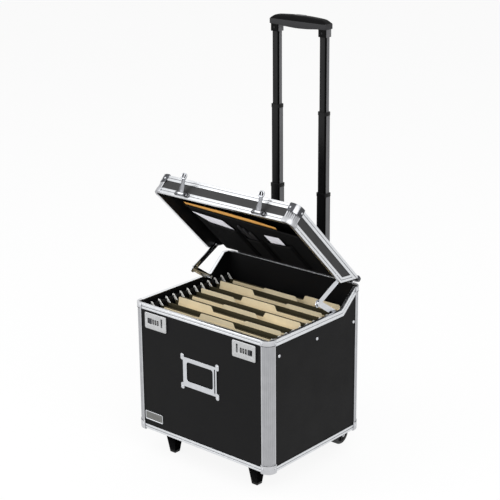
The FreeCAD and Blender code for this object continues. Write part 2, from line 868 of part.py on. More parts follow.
def hinge_leaf_shape(first, plate, tab_z0, tab_z1):
    """A leaf with every second knuckle, starting from the given one."""
    length = 2 * hinge_half_length / hinge_segments
    parts = [plate]
    for index in range(first, hinge_segments, 2):
        start = -hinge_half_length + index * length + hinge_clearance / 2
        run = length - hinge_clearance
        parts.append(rod(Vector(start, hinge_y, hinge_z), X, hinge_knuckle, run))
        parts.append(box(start, start + run, case_depth, case_depth + hinge_leaf, tab_z0, tab_z1))
    bore = rod(Vector(-hinge_half_length - 1, hinge_y, hinge_z), X, hinge_bore, 2 * hinge_half_length + 2)
    return fuse(parts).cut(bore)


def build_hinge():
    clear = hinge_knuckle + hinge_clearance
    span = hinge_half_length
    case_plate = box(-span, span, case_depth, case_depth + hinge_leaf, hinge_leaf_bottom, hinge_z - clear)
    lid_top = closed_height - hinge_clearance
    lid_plate = box(-span, span, case_depth, case_depth + hinge_leaf, hinge_z + clear, lid_top)
    pin = rod(Vector(-span, hinge_y, hinge_z), X, hinge_pin_radius, 2 * span)
    save("case_hinge_leaf", [hinge_leaf_shape(0, case_plate, hinge_z - clear, hinge_z), pin])
    save_lid("lid_hinge_leaf", [hinge_leaf_shape(1, lid_plate, hinge_z, hinge_z + clear)])


def link(start, end, x0, x1, radius):
    """A flat bar with round ends between two points of a y-z plane."""
    length = math.hypot(end[0] - start[0], end[1] - start[1])
    side = ((end[1] - start[1]) / length * radius, (start[0] - end[0]) / length * radius)
    corners = [(start[0] + side[0], start[1] + side[1]), (end[0] + side[0], end[1] + side[1]),
               (end[0] - side[0], end[1] - side[1]), (start[0] - side[0], start[1] - side[1])]
    ends = [rod(Vector(x0, y, z), X, radius, x1 - x0) for y, z in (start, end)]
    return fuse([prism_x(corners, x0, x1)] + ends)


def turned(point, angle_deg):
    """A point of the shut lid, in y and z, after the lid has opened by the angle."""
    turn = math.radians(angle_deg)
    y, z = point[0] - hinge_y, point[1] - hinge_z
    cos, sin = math.cos(turn), math.sin(turn)
    return (hinge_y + y * cos + z * sin, hinge_z - y * sin + z * cos)


def pivot(point, x_wall, x_link, x_head):
    """A pin from a wall through a link, with a boss on the wall and a head on the far side of the link."""
    y, z = point
    pin = rod(Vector(x_head, y, z), X, pivot_radius, x_link - x_head + 1)
    head = dome(Vector(x_head, y, z), -X, rivet_head, head_height)
    return fuse([pin, head, rod(Vector(x_link, y, z), X, stay_boss, x_wall - x_link)])


def build_stays():
    lower0, lower1 = lower_link_x, lower_link_x + link_thickness
    upper0, upper1 = lower0 - link_gap - link_thickness, lower0 - link_gap
    wall = half_width - inner
    lid_wall = half_width - strip - lid_panel
    y, z = stay_case_pivot
    reach, drop = stay_foot
    foot = box(lower1 + link_gap, wall, y - reach, y + reach, z - drop, front_height - strip)
    case_pivot = pivot(stay_case_pivot, wall, lower1 + link_gap, lower0 - link_gap)
    save("case_stay_brackets", pair(fuse([foot, case_pivot])))
    save_lid("lid_stay_brackets", pair(pivot(stay_lid_pivot, lid_wall, upper1 + link_gap, upper0 - link_gap)))
    bore = pivot_radius + pivot_clearance
    lower = link(stay_case_pivot, stay_elbow, lower0, lower1, link_radius)
    lower = lower.cut(rod(Vector(lower0, y, z), X, bore, link_thickness))
    elbow = Vector(upper0 - link_gap, *stay_elbow)
    pin = rod(elbow, X, elbow_pin, lower1 - elbow.x)
    save("stay_lower_links", pair(fuse([lower, pin, dome(elbow, -X, elbow_head, head_height)])))
    lid_pivot = turned(stay_lid_pivot, lid_open_angle)
    length = math.hypot(stay_elbow[0] - lid_pivot[0], stay_elbow[1] - lid_pivot[1])
    way = [(stay_elbow[i] - lid_pivot[i]) / length for i in (0, 1)]
    far = [stay_elbow[i] + way[i] * elbow_slot_length for i in (0, 1)]
    near = [stay_elbow[i] - way[i] * elbow_slot_start for i in (0, 1)]
    slot = link(near, far, upper0, upper1, elbow_pin + elbow_slot_margin)
    hole = rod(Vector(upper0, *lid_pivot), X, bore, link_thickness)
    upper = link(lid_pivot, far, upper0, upper1, link_radius)
    save("stay_upper_links", pair(upper.cut(slot).cut(hole)))


# Lid

def build_lid_panels():
    core = outline(strip, 0, closed_height)
    ceiling = closed_height - strip - lid_panel
    top = box(-half_width, half_width, 0, case_depth, ceiling, closed_height - strip).common(core)
    wall = half_width - strip - lid_panel
    front = box(-wall, wall, strip, strip + lid_panel, lid_bottom + lid_web, ceiling).common(core)
    side = box(wall, half_width - strip, strip, case_depth, lid_bottom, ceiling)
    save_lid("lid_top_panel", [top.cut(Part.Compound(pair(under_lid(lid_web))))])
    save_lid("lid_front_panel", [front])
    save_lid("lid_side_panels", pair(side.common(core).cut(under_lid(lid_web))))


def build_lid_strips():
    def from_top(v):
        return closed_height - v

    edge = angle(lid_edge_height, lid_edge_height)
    rear_bottom = back_height + lid_gap
    back_section = angle(lid_edge_height, closed_height - rear_bottom)
    front_edge = lengthwise(edge, lambda u: u, from_top)
    back_edge = lengthwise(back_section, lambda u: case_depth - u, from_top)
    side_edges = [shape.cut(cutter) for shape, cutter in zip(crosswise(edge, from_top), pair(under_lid(0.0)))]
    save_lid("lid_top_edges", [front_edge, back_edge] + side_edges)
    rim = lengthwise(angle(inner, rim_height, lid_web), lambda u: u, lambda v: lid_bottom + v)
    edge_place = box(half_width - strip, half_width + 1, 0, case_depth,
                     closed_height - lid_edge_height, closed_height + lid_edge_height)
    save_lid("lid_rims", [rim] + pair(side_strip(lid_line, -rim_height, lid_web).cut(edge_place)))


def build_lid_corners():
    front, rear = (0, 1), (2, 3)
    rear_bottom = back_height + lid_gap
    boxes = corner_boxes(post_width, 0, closed_height)
    shells = []
    for low, corners in ((lid_bottom, front), (rear_bottom, rear)):
        plate = ring(low, low + lid_web, inner)
        for shell, corner in zip(posts(low, closed_height, corners), corners):
            shells.append(fuse([shell, plate.common(boxes[corner])]))
    save_lid("lid_corner_posts", shells)
    roof, roof_round = lid_cap_roof
    top = closed_height + roof
    plate = edge_round(outline(-cap_wall, closed_height, top), top, roof_round)
    low = closed_height - base_cap_height
    lid_caps = caps(low, closed_height, plate, cap_reach, front)
    lid_caps += caps(rear_bottom, closed_height, plate, cap_reach, rear)
    save_lid("lid_corner_caps", lid_caps)
    rivets = cap_rivets(low + base_cap_height / 2, front)
    rim_middle = lid_bottom + rim_height / 2
    for x in lid_rivets_x:
        rivets.append(dome(Vector(x, 0, rim_middle), -Y, *lid_rivet))
    for y in lid_rivets_y:
        rivets += pair(dome(Vector(half_width, y, rim_middle), X, *lid_rivet))
    save_lid("lid_rivets", rivets)


def hasp_base():
    """A plate on the lid's rim with a pin between two knuckles, and its two rivets."""
    low, high = [lid_bottom + height for height in hasp_base_span]
    plate = box(-hasp_base_width / 2, hasp_base_width / 2, -hasp_base_wall, 0, low, high)
    parts = [rounded(plate, Y, hasp_base_corner)]
    near = hasp_width / 2 + hasp_gap
    far = near + hasp_base_knuckle
    for x in (-far, near):
        parts.append(rod(Vector(x, hasp_axis_y, hasp_axis_z), X, hasp_knuckle, hasp_base_knuckle))
        parts.append(box(x, x + hasp_base_knuckle, hasp_axis_y, 0, hasp_axis_z - hasp_thickness,
                         hasp_axis_z + hasp_thickness))
    parts.append(rod(Vector(-far, hasp_axis_y, hasp_axis_z), X, hasp_pin, 2 * far))
    heads = [dome(Vector(x, -hasp_base_wall, (low + high) / 2), -Y, *hasp_rivet)
             for x in (-hasp_rivet_x, hasp_rivet_x)]
    return [fuse(parts)] + heads


def hasp():
    """A round-ended plate with a neck and a staple for the lock, on a barrel, leaning off the lid."""
    half = hasp_width / 2
    front, back = hasp_axis_y - hasp_thickness / 2, hasp_axis_y + hasp_thickness / 2
    nose_z = hasp_axis_z + hasp_length - half
    neck_width, shoulder, neck_start = hasp_neck
    neck = neck_width / 2
    side = [(half, 0.0), (half, shoulder), (neck, neck_start), (neck, nose_z - hasp_axis_z)]
    line = side + [(-x, height) for x, height in side[::-1]]
    plate = prism_y([(x, hasp_axis_z + height) for x, height in line], front, back)
    nose = rod(Vector(0, front, nose_z), Y, half, hasp_thickness)
    barrel = rod(Vector(-half, hasp_axis_y, hasp_axis_z), X, hasp_knuckle, hasp_width)
    low, high = [hasp_axis_z + height for height in staple_span]
    tip = front - staple_depth
    thick = staple_thickness / 2
    staple = box(-thick, thick, tip, front, low, high)
    eye = box(-thick, thick, tip + staple_wall, front, low + staple_wall, high - staple_wall)
    bore = rod(Vector(-half, hasp_axis_y, hasp_axis_z), X, hasp_bore, hasp_width)
    whole = fuse([plate, nose, barrel, staple.cut(eye)]).cut(bore)
    return whole.rotated(Vector(0, hasp_axis_y, hasp_axis_z), X, hasp_lean)


def build_hasps():
    place = Vector(-lock_x + staple_offset, 0, 0)
    bases = []
    for shape in hasp_base():
        bases += pair(shape.translated(place))
    save_lid("hasp_bases", bases)
    left = hasp().translated(place)
    save_lid("left_hasp", [left])
    save_lid("right_hasp", [mirrored(left)])


def build_organiser():
    ceiling = closed_height - strip - lid_panel
    half_x, y0, y1 = organiser_span
    board = rounded(box(-half_x, half_x, y0, y1, ceiling - organiser_wall, ceiling), Z, organiser_corner)
    save_lid("organiser_board", [board])
    under = ceiling - organiser_wall
    wide = pocket(under, document_pocket_height, document_pocket_foot, *document_pocket)
    save_lid("document_pocket", [wide])
    face = under - document_pocket_height
    small = [pocket(face, card_pocket_height, card_pocket_foot, *spans) for spans in card_pockets]
    save_lid("card_pockets", small)


def pocket(face, height, foot, x0, x1, left_y, right_y):
    """A pocket under the given face, with its opening at the given places of its two sides."""
    low = face - height
    corners = [(x0, left_y), (x1, right_y), (x1, foot), (x0, foot)]
    whole = prism([Vector(x, y, low) for x, y in corners], Z * height)
    hollow = box(x0 + pocket_sheet, x1 - pocket_sheet, min(left_y, right_y) - 1, foot - pocket_sheet,
                 low + pocket_sheet, face)
    return whole.cut(hollow)


os.makedirs("parts", exist_ok=True)
for build in (build_panels, build_strips, build_corners, build_locks, build_front_fittings, build_feet,
              build_wheels, build_rails, build_folders, build_handle, build_grip, build_hinge, build_stays,
              build_lid_panels, build_lid_strips, build_lid_corners, build_hasps, build_organiser):
    build()
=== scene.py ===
"""Looks of a rolling file case: its finishes and fine pieces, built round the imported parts.

Sizes are millimetres of the shut case: x to the right, y back from the front face, z up from the underside
of the box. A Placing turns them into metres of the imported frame, where the lid stands open.
"""
import json
import logging
import math
from dataclasses import dataclass
from enum import Enum
from typing import Sequence

import bmesh
import bpy
from mathutils import Matrix, Vector

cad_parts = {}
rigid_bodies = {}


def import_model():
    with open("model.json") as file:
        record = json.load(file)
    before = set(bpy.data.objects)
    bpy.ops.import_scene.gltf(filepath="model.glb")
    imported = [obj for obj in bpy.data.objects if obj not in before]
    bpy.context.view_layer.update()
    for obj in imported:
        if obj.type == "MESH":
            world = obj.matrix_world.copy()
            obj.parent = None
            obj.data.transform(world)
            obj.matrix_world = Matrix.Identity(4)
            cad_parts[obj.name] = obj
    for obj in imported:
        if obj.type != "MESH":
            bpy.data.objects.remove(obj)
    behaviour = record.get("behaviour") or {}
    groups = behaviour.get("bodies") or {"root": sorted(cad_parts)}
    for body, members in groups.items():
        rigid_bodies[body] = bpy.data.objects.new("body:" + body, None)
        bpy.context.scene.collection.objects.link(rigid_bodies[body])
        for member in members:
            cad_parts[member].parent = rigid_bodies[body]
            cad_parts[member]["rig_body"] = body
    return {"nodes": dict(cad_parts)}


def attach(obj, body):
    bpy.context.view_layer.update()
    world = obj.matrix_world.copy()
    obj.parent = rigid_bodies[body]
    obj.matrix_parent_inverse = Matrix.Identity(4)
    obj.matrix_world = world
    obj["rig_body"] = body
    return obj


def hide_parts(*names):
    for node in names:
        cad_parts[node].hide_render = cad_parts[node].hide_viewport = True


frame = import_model()
log = logging.getLogger("file_case")

Colour = tuple[float, float, float]
Shade = tuple[float, float, float, float]
Point = tuple[float, float, float]
Flat = tuple[float, float]
Line = tuple[Flat, ...]
Span = tuple[float, float, float, float]
Socket = bpy.types.NodeSocket
Feed = Socket | float | Point | Shade

PER_METRE = 1000.0
POLE = 0.01
COPY_WELD = 0.002
TURNED_WELD = 0.001
CUT_WELD = 0.001
FLAT_TURN = 0.5
SIGNS = (-1.0, 1.0)
SIDES = (("left", -1.0), ("right", 1.0))
WHITE = (1.0, 1.0, 1.0, 1.0)


class Axis(Enum):
    """A direction of the drawing."""

    X = 0
    Y = 1
    Z = 2


class Grain(Enum):
    """How a surface is broken up close to."""

    PEBBLED = "pebbled"
    ETCHED = "etched"
    BRUSHED = "brushed"
    MOULDED = "moulded"
    FIBROUS = "fibrous"
    WOVEN = "woven"


def turned(degrees: float, axis: Axis) -> Matrix:
    """A turn about one of the drawing's axes."""
    return Matrix.Rotation(math.radians(degrees), 4, axis.name)


def turned_at(place: Point, degrees: float) -> Matrix:
    """A turn about the line along x through a place."""
    spot = Matrix.Translation(place)
    return spot @ turned(degrees, Axis.X) @ spot.inverted()


def mirrored(sign: float) -> Matrix:
    """A mirror from side to side for a sign of -1, and nothing for 1."""
    return Matrix.Diagonal((sign, 1.0, 1.0, 1.0))


FORWARD = turned(-90.0, Axis.Z)


@dataclass(frozen=True)
class Placing:
    """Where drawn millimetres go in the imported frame."""

    front_to_middle: float = 194.25
    ground_clearance: float = 65.0
    hinge: Point = (0.0, 352.0, 375.15)
    lid_angle: float = 45.5

    def packed(self) -> Matrix:
        """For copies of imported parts, which are in their place already."""
        return Matrix.Scale(1.0 / PER_METRE, 4)

    def case(self) -> Matrix:
        """For pieces drawn on the case."""
        return self.packed() @ Matrix.Translation((0.0, -self.front_to_middle, self.ground_clearance))

    def lid(self) -> Matrix:
        """For pieces drawn on the shut lid."""
        return self.case() @ turned_at(self.hinge, -self.lid_angle)

    def drawn_on(self, body: str) -> Matrix:
        """For pieces drawn on a body of the shut case."""
        return self.lid() if body == "lid" else self.case()


PLACING = Placing()


class NodeBench:
    """The nodes of a material or a world, with short ways to add and join them."""

    def __init__(self, owner: bpy.types.Material | bpy.types.World) -> None:
        """Turns on the owner's nodes."""
        owner.use_nodes = True
        self.tree = owner.node_tree

    def feed(self, node: bpy.types.Node, inputs: dict[str | int, Feed]) -> bpy.types.Node:
        """Joins sockets to some of a node's inputs and sets constants on others.

        Args:
            node: The node.
            inputs: A socket or a constant for each input, by name or number.

        Returns:
            The node.
        """
        for name, source in inputs.items():
            if isinstance(source, Socket):
                self.tree.links.new(source, node.inputs[name])
            else:
                node.inputs[name].default_value = source
        return node

    def add(self, kind: str, inputs: dict[str | int, Feed] | None = None, **settings: str) -> bpy.types.Node:
        """Adds a node.

        Args:
            kind: The node's type name without its ShaderNode prefix.
            inputs: A socket or a constant for each input, by name or number.
            settings: Its options.

        Returns:
            The new node.
        """
        node = self.tree.nodes.new("ShaderNode" + kind)
        for name, value in settings.items():
            setattr(node, name, value)
        return self.feed(node, inputs or {})

    def place(self, stretch: Point = (1.0, 1.0, 1.0), tilt: float = 0.0) -> Socket:
        """Object coordinates, stretched and tilted about x.

        Args:
            stretch: Factors along the three axes.
            tilt: Turn about the x axis in degrees.

        Returns:
            The vector socket.
        """
        where = self.add("TexCoord").outputs["Object"]
        turn = (math.radians(tilt), 0.0, 0.0)
        return self.add("Mapping", {"Vector": where, "Scale": stretch, "Rotation": turn}).outputs["Vector"]

    def noise(self, where: Socket, size: float, detail: float = 3.0) -> Socket:
        """Soft noise whose blotches are about the given millimetres across."""
        inputs = {"Vector": where, "Scale": PER_METRE / size, "Detail": detail, "Roughness": 0.6}
        return self.add("TexNoise", inputs).outputs["Fac"]

    def span(self, source: Socket, low: float, high: float, start: float = 0.3, end: float = 0.7) -> Socket:
        """Maps a factor's start and end to low and high values."""
        inputs = {"Value": source, "From Min": start, "From Max": end, "To Min": low, "To Max": high}
        return self.add("MapRange", inputs).outputs["Result"]

    def blend(self, share: Socket, first: Socket | Shade, second: Shade) -> Socket:
        """Mixes two colours by the second one's share."""
        return self.add("Mix", {"Factor": share, 6: first, 7: second}, data_type="RGBA").outputs[2]

    def math(self, operation: str, first: Socket, second: Socket | float) -> Socket:
        """One arithmetic step between a socket and a socket or a number."""
        return self.add("Math", {0: first, 1: second}, operation=operation).outputs[0]

    def wave(self, where: Socket, direction: str, size: float) -> Socket:
        """Threads across one direction, each as wide as the given millimetres."""
        inputs = {"Vector": where, "Scale": PER_METRE / size / 20.0 * math.pi, "Distortion": 0.4,
                  "Detail": 1.0, "Detail Scale": 2.0}
        return self.add("TexWave", inputs, bands_direction=direction).outputs["Fac"]

    def grain(self, kind: Grain, size: float, tilt: float) -> Socket:
        """The height pattern of a grain.

        Args:
            kind: Which grain.
            size: Size of its features in millimetres.
            tilt: Turn of the pattern about x in degrees.

        Returns:
            The height's socket.
        """
        where = self.place(tilt=tilt)
        if kind is Grain.PEBBLED:
            cells = self.add("TexVoronoi", {"Vector": where, "Scale": PER_METRE / size, "Randomness": 0.9})
            return self.math("ADD", cells.outputs["Distance"], self.noise(where, size / 3.0))
        if kind is Grain.BRUSHED:
            return self.noise(self.place((0.02, 1.0, 1.0), tilt), size, detail=5.0)
        if kind is Grain.FIBROUS:
            fibres = self.noise(self.place((1.0, 1.0, 0.3)), size * 3.0)
            return self.math("ADD", self.noise(where, size, detail=6.0), fibres)
        if kind is Grain.WOVEN:
            return self.math("MAXIMUM", self.wave(where, "X", size), self.wave(where, "Y", size))
        return self.noise(where, size, detail=4.0 if kind is Grain.ETCHED else 2.0)

    def seen(self) -> Socket:
        """A factor that is 1 for rays from the camera, from gloss or through glass.

        Returns:
            The factor's socket.
        """
        path = self.add("LightPath").outputs
        direct = self.math("MAXIMUM", path["Is Camera Ray"], path["Is Glossy Ray"])
        return self.math("MAXIMUM", direct, path["Is Transmission Ray"])

    def show(self, output: str, share: Socket, first: bpy.types.Node, second: bpy.types.Node) -> None:
        """Mixes two shaders by the second one's share, for the output to show."""
        mix = self.add("MixShader", {"Fac": share, 1: first.outputs[0], 2: second.outputs[0]})
        self.feed(self.tree.nodes[output], {"Surface": mix.outputs[0]})


@dataclass(frozen=True)
class Finish:
    """A surface finish; colours are as seen, from 0 to 255, and sizes are millimetres."""

    name: str
    colour: Colour
    roughness: float
    grain: Grain
    grain_size: float
    grain_depth: float
    mottle_size: float
    metallic: float = 0.0
    mottle: float = 0.12
    gloss_spread: float = 0.08
    worn: Colour | None = None
    sheen: float = 0.0
    specular: float = 0.5
    tilt: float = 0.0
    patch_shares: Flat = (0.6, 0.4)
    patch_span: Flat = (0.35, 0.65)
    gap_span: Span = (0.55, 0.0, 0.1, 0.6)
    gap_light: float = 0.35
    wear_size: float = 9.0
    wear_most: float = 0.75
    fine_scale: float = 2.5
    bump: float = 0.6

    def light(self, colour: Colour, share: float = 1.0) -> Shade:
        """The linear light of a seen colour, scaled by a share.

        Args:
            colour: The colour as seen.
            share: The scale.

        Returns:
            The light, with full opacity.
        """
        values = [value / 255 for value in colour]
        linear = [v / 12.92 if v < 0.0404 else ((v + 0.055) / 1.055) ** 2.4 for v in values]
        return (*[min(1.0, value * share) for value in linear], 1.0)

    def pattern(self, bench: NodeBench, patches: Socket, height: Socket) -> Socket:
        """The colour over the surface.

        Args:
            bench: The material's nodes.
            patches: The factor of the light and dark patches.
            height: The height of the grain.

        Returns:
            The colour's socket.
        """
        dark, pale = [self.light(self.colour, 1.0 + sign * self.mottle) for sign in SIGNS]
        colour = bench.blend(bench.span(patches, 0.0, 1.0, *self.patch_span), dark, pale)
        if self.grain is Grain.WOVEN:
            gaps = bench.span(height, *self.gap_span)
            colour = bench.blend(gaps, colour, self.light(self.colour, self.gap_light))
        if self.worn:
            edge = bench.add("Attribute", attribute_name="wear").outputs["Fac"]
            uneven = bench.span(bench.noise(bench.place(), self.wear_size), 0.0, self.wear_most)
            colour = bench.blend(bench.math("MULTIPLY", edge, uneven), colour, self.light(self.worn))
        return colour

    def material(self) -> bpy.types.Material:
        """The finish as a material, made once.

        Returns:
            The material.
        """
        known = bpy.data.materials.get(self.name)
        if known:
            return known
        made = bpy.data.materials.new(self.name)
        bench = NodeBench(made)
        where = bench.place()
        height = bench.grain(self.grain, self.grain_size, self.tilt)
        sizes = (self.mottle_size, self.grain_size * self.fine_scale)
        broad, fine = [bench.math("MULTIPLY", bench.noise(where, size), share)
                       for size, share in zip(sizes, self.patch_shares)]
        patches = bench.math("ADD", broad, fine)
        low, high = [self.roughness + sign * self.gloss_spread for sign in SIGNS]
        depth = self.grain_depth / PER_METRE
        bump = bench.add("Bump", {"Height": height, "Strength": self.bump, "Distance": depth})
        bench.feed(bench.tree.nodes["Principled BSDF"], {
            "Base Color": self.pattern(bench, patches, height),
            "Metallic": self.metallic,
            "Roughness": bench.span(patches, low, high, *self.patch_span),
            "Normal": bump.outputs["Normal"],
            "Sheen Weight": self.sheen,
            "Specular IOR Level": self.specular})
        return made


VINYL = Finish("black_vinyl", (11, 11, 12), 0.5, Grain.PEBBLED, 1.3, 0.1, 90.0, specular=0.11)
# The lid's walls: a lighter copy of the case's vinyl, which is painted light, with a higher specular for real
# gloss.
LIT_LID_VINYL = Finish("glossy_vinyl", (16, 16, 17), 0.45, Grain.PEBBLED, 1.3, 0.08, 90.0, specular=0.46)
BRIGHT_STRIP = Finish("bright_aluminium", (218, 220, 223), 0.3, Grain.ETCHED, 0.7, 0.015, 14.0,
                      metallic=1.0, mottle=0.05)
# Darker strip metal for the floors of the strips' grooves and for the hasp bases: painted shade.
SHADED_STRIP_METAL = Finish("strip_groove", (112, 113, 116), 0.42, Grain.ETCHED, 0.7, 0.015, 14.0,
                    metallic=1.0, mottle=0.1)
POST = Finish("satin_aluminium", (196, 197, 200), 0.36, Grain.ETCHED, 0.6, 0.01, 20.0,
              metallic=1.0, mottle=0.06)
# A darker copy of the posts' aluminium: painted shade on the posts' bends and on the lid's foot caps; on the
# lid caps' ridges it is lighter than the darkened caps, a painted highlight.
SHADED_BEND = Finish("ribbed_aluminium", (172, 173, 176), 0.38, Grain.ETCHED, 0.6, 0.01, 20.0,
                   metallic=1.0, mottle=0.07)
CHROME = Finish("bright_chrome", (204, 206, 210), 0.14, Grain.ETCHED, 2.5, 0.004, 12.0,
                metallic=1.0, mottle=0.06, gloss_spread=0.06)
SMOKED = Finish("smoked_chrome", (104, 105, 108), 0.2, Grain.ETCHED, 2.0, 0.006, 9.0, metallic=1.0)
# A darker copy of the bright cap metal for the lid's corner caps and the lock sliders: painted shade.
SHADED_METAL = Finish("dark_cap_metal", (72, 73, 76), 0.3, Grain.ETCHED, 1.5, 0.008, 9.0,
                  metallic=1.0, mottle=0.1)
NICKEL = Finish("brushed_nickel", (192, 193, 194), 0.3, Grain.BRUSHED, 0.35, 0.012, 7.0,
                metallic=1.0, mottle=0.08)
DULL_NICKEL = Finish("dull_nickel", (120, 120, 118), 0.4, Grain.BRUSHED, 0.5, 0.02, 5.0,
                     metallic=1.0, mottle=0.16)
RAIL = Finish("rail_steel", (42, 42, 43), 0.45, Grain.ETCHED, 0.8, 0.015, 60.0, metallic=1.0)
TUBE_BLACK = Finish("black_tube_paint", (15, 15, 16), 0.3, Grain.ETCHED, 0.9, 0.01, 45.0, specular=0.14)
# A lighter copy of the tube paint for the tubes' sides and the grip's socket sides: painted highlight.
LIT_TUBE_SIDE = Finish("satin_tube_side", (90, 90, 92), 0.36, Grain.ETCHED, 0.9, 0.01, 45.0,
                   mottle=0.1, specular=0.3)
# Near-black for the lines, discs and rings put where gaps, grooves and recesses fall into shade: painted
# shade.
PAINTED_SHADE = Finish("groove_shadow", (6, 6, 6), 0.8, Grain.MOULDED, 0.6, 0.01, 20.0,
                      mottle=0.1, specular=0.03)
PLASTIC = Finish("black_moulding", (14, 14, 15), 0.42, Grain.MOULDED, 0.5, 0.03, 25.0,
                 worn=(34, 34, 36), specular=0.16)
# Lit and shaded copies of the grip's black moulding: the front and back lighter, which is painted light, the
# crown darker, which is painted shade.
LIT_GRIP = Finish("grip_moulding", (38, 38, 40), 0.5, Grain.MOULDED, 0.5, 0.03, 30.0,
              worn=(58, 58, 60), specular=0.22)
SHADED_CROWN = Finish("grip_crown", (8, 8, 9), 0.55, Grain.MOULDED, 0.5, 0.03, 30.0,
               worn=(16, 16, 17), specular=0.06)
BUTTON = Finish("grey_moulding", (58, 58, 60), 0.4, Grain.MOULDED, 0.4, 0.02, 12.0,
                mottle=0.08, specular=0.3)
RUBBER = Finish("tyre_rubber", (13, 13, 13), 0.72, Grain.MOULDED, 0.7, 0.06, 12.0,
                mottle=0.2, worn=(34, 33, 32), specular=0.14)
HUB = Finish("hub_moulding", (22, 22, 24), 0.48, Grain.MOULDED, 0.5, 0.03, 10.0, specular=0.2)
DIAL = Finish("dial_black", (16, 16, 17), 0.3, Grain.MOULDED, 0.3, 0.01, 4.0, mottle=0.1, specular=0.3)
INK = Finish("dial_white", (196, 196, 192), 0.5, Grain.MOULDED, 0.2, 0.005, 3.0, mottle=0.06)
MANILA = Finish("manila_card", (242, 227, 192), 0.85, Grain.FIBROUS, 0.6, 0.02, 35.0,
                mottle=0.06, worn=(245, 236, 210), specular=0.2)
HANGING = Finish("olive_card", (66, 61, 44), 0.88, Grain.FIBROUS, 0.7, 0.03, 30.0,
                 mottle=0.14, worn=(84, 78, 58), specular=0.15)
ROD_WHITE = Finish("coated_hook", (236, 236, 232), 0.38, Grain.MOULDED, 0.5, 0.01, 12.0, mottle=0.05)
CLOTH = Finish("black_cloth", (8, 8, 9), 0.92, Grain.WOVEN, 0.9, 0.12, 40.0,
               mottle=0.14, sheen=0.01, specular=0.05, tilt=PLACING.lid_angle)
TAPE = Finish("binding_tape", (12, 12, 13), 0.85, Grain.WOVEN, 0.5, 0.08, 20.0,
              sheen=0.02, specular=0.08, tilt=PLACING.lid_angle)
THREAD = Finish("stitch_thread", (30, 30, 29), 0.8, Grain.FIBROUS, 0.3, 0.03, 8.0, specular=0.1)
ENVELOPE = Finish("buff_envelope", (232, 172, 92), 0.8, Grain.FIBROUS, 0.6, 0.02, 22.0,
                  mottle=0.08, specular=0.2)
PAPER = Finish("white_paper", (240, 239, 246), 0.85, Grain.FIBROUS, 0.5, 0.015, 25.0,
               mottle=0.03, specular=0.2)


def unit(value: float) -> float:
    """A value kept between 0 and 1."""
    return min(1.0, max(0.0, value))


def put(axis: Axis, first: float, second: float, along: float) -> Point:
    """A point from its place along an axis and its places on the other two.

    Args:
        axis: The axis.
        first: Place on the first of the other two.
        second: Place on the second of them.
        along: Place along the axis.

    Returns:
        The point.
    """
    values = [first, second]
    values.insert(axis.value, along)
    return tuple(values)


def arc(centre: Flat, radius: float, start: float, end: float, steps: int) -> list[Flat]:
    """Points of a circle from one angle in degrees to another."""
    turns = [math.radians(start + (end - start) * step / steps) for step in range(steps + 1)]
    return [(centre[0] + radius * math.cos(turn), centre[1] + radius * math.sin(turn)) for turn in turns]


def rounded_box(half_a: float, half_b: float, radius: float, steps: int = 5) -> list[Flat]:
    """A rectangle about the origin with rounded corners.

    Args:
        half_a: Half its width.
        half_b: Half its height.
        radius: Radius of its corners.
        steps: Steps round each corner.

    Returns:
        Its outline.
    """
    points = []
    for quarter, (a, b) in enumerate(((1, 1), (-1, 1), (-1, -1), (1, -1))):
        middle = (a * (half_a - radius), b * (half_b - radius))
        points += arc(middle, radius, 90.0 * quarter, 90.0 * quarter + 90.0, steps)
    return points


def both_ways(profile: Sequence[Flat]) -> list[Flat]:
    """The left half of a profile of (x, radius), joined to its mirror image."""
    return [*profile, *[(-along, radius) for along, radius in reversed(profile)]]


def framed(span: Span) -> tuple[Matrix, float, float]:
    """The move to the middle of a span of x and z, with half its width and half its height."""
    x0, x1, z0, z1 = span
    return Matrix.Translation(((x0 + x1) / 2, 0.0, (z0 + z1) / 2)), (x1 - x0) / 2, (z1 - z0) / 2


def body_of(node: str) -> str:
    """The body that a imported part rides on."""
    return frame["nodes"][node]["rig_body"]


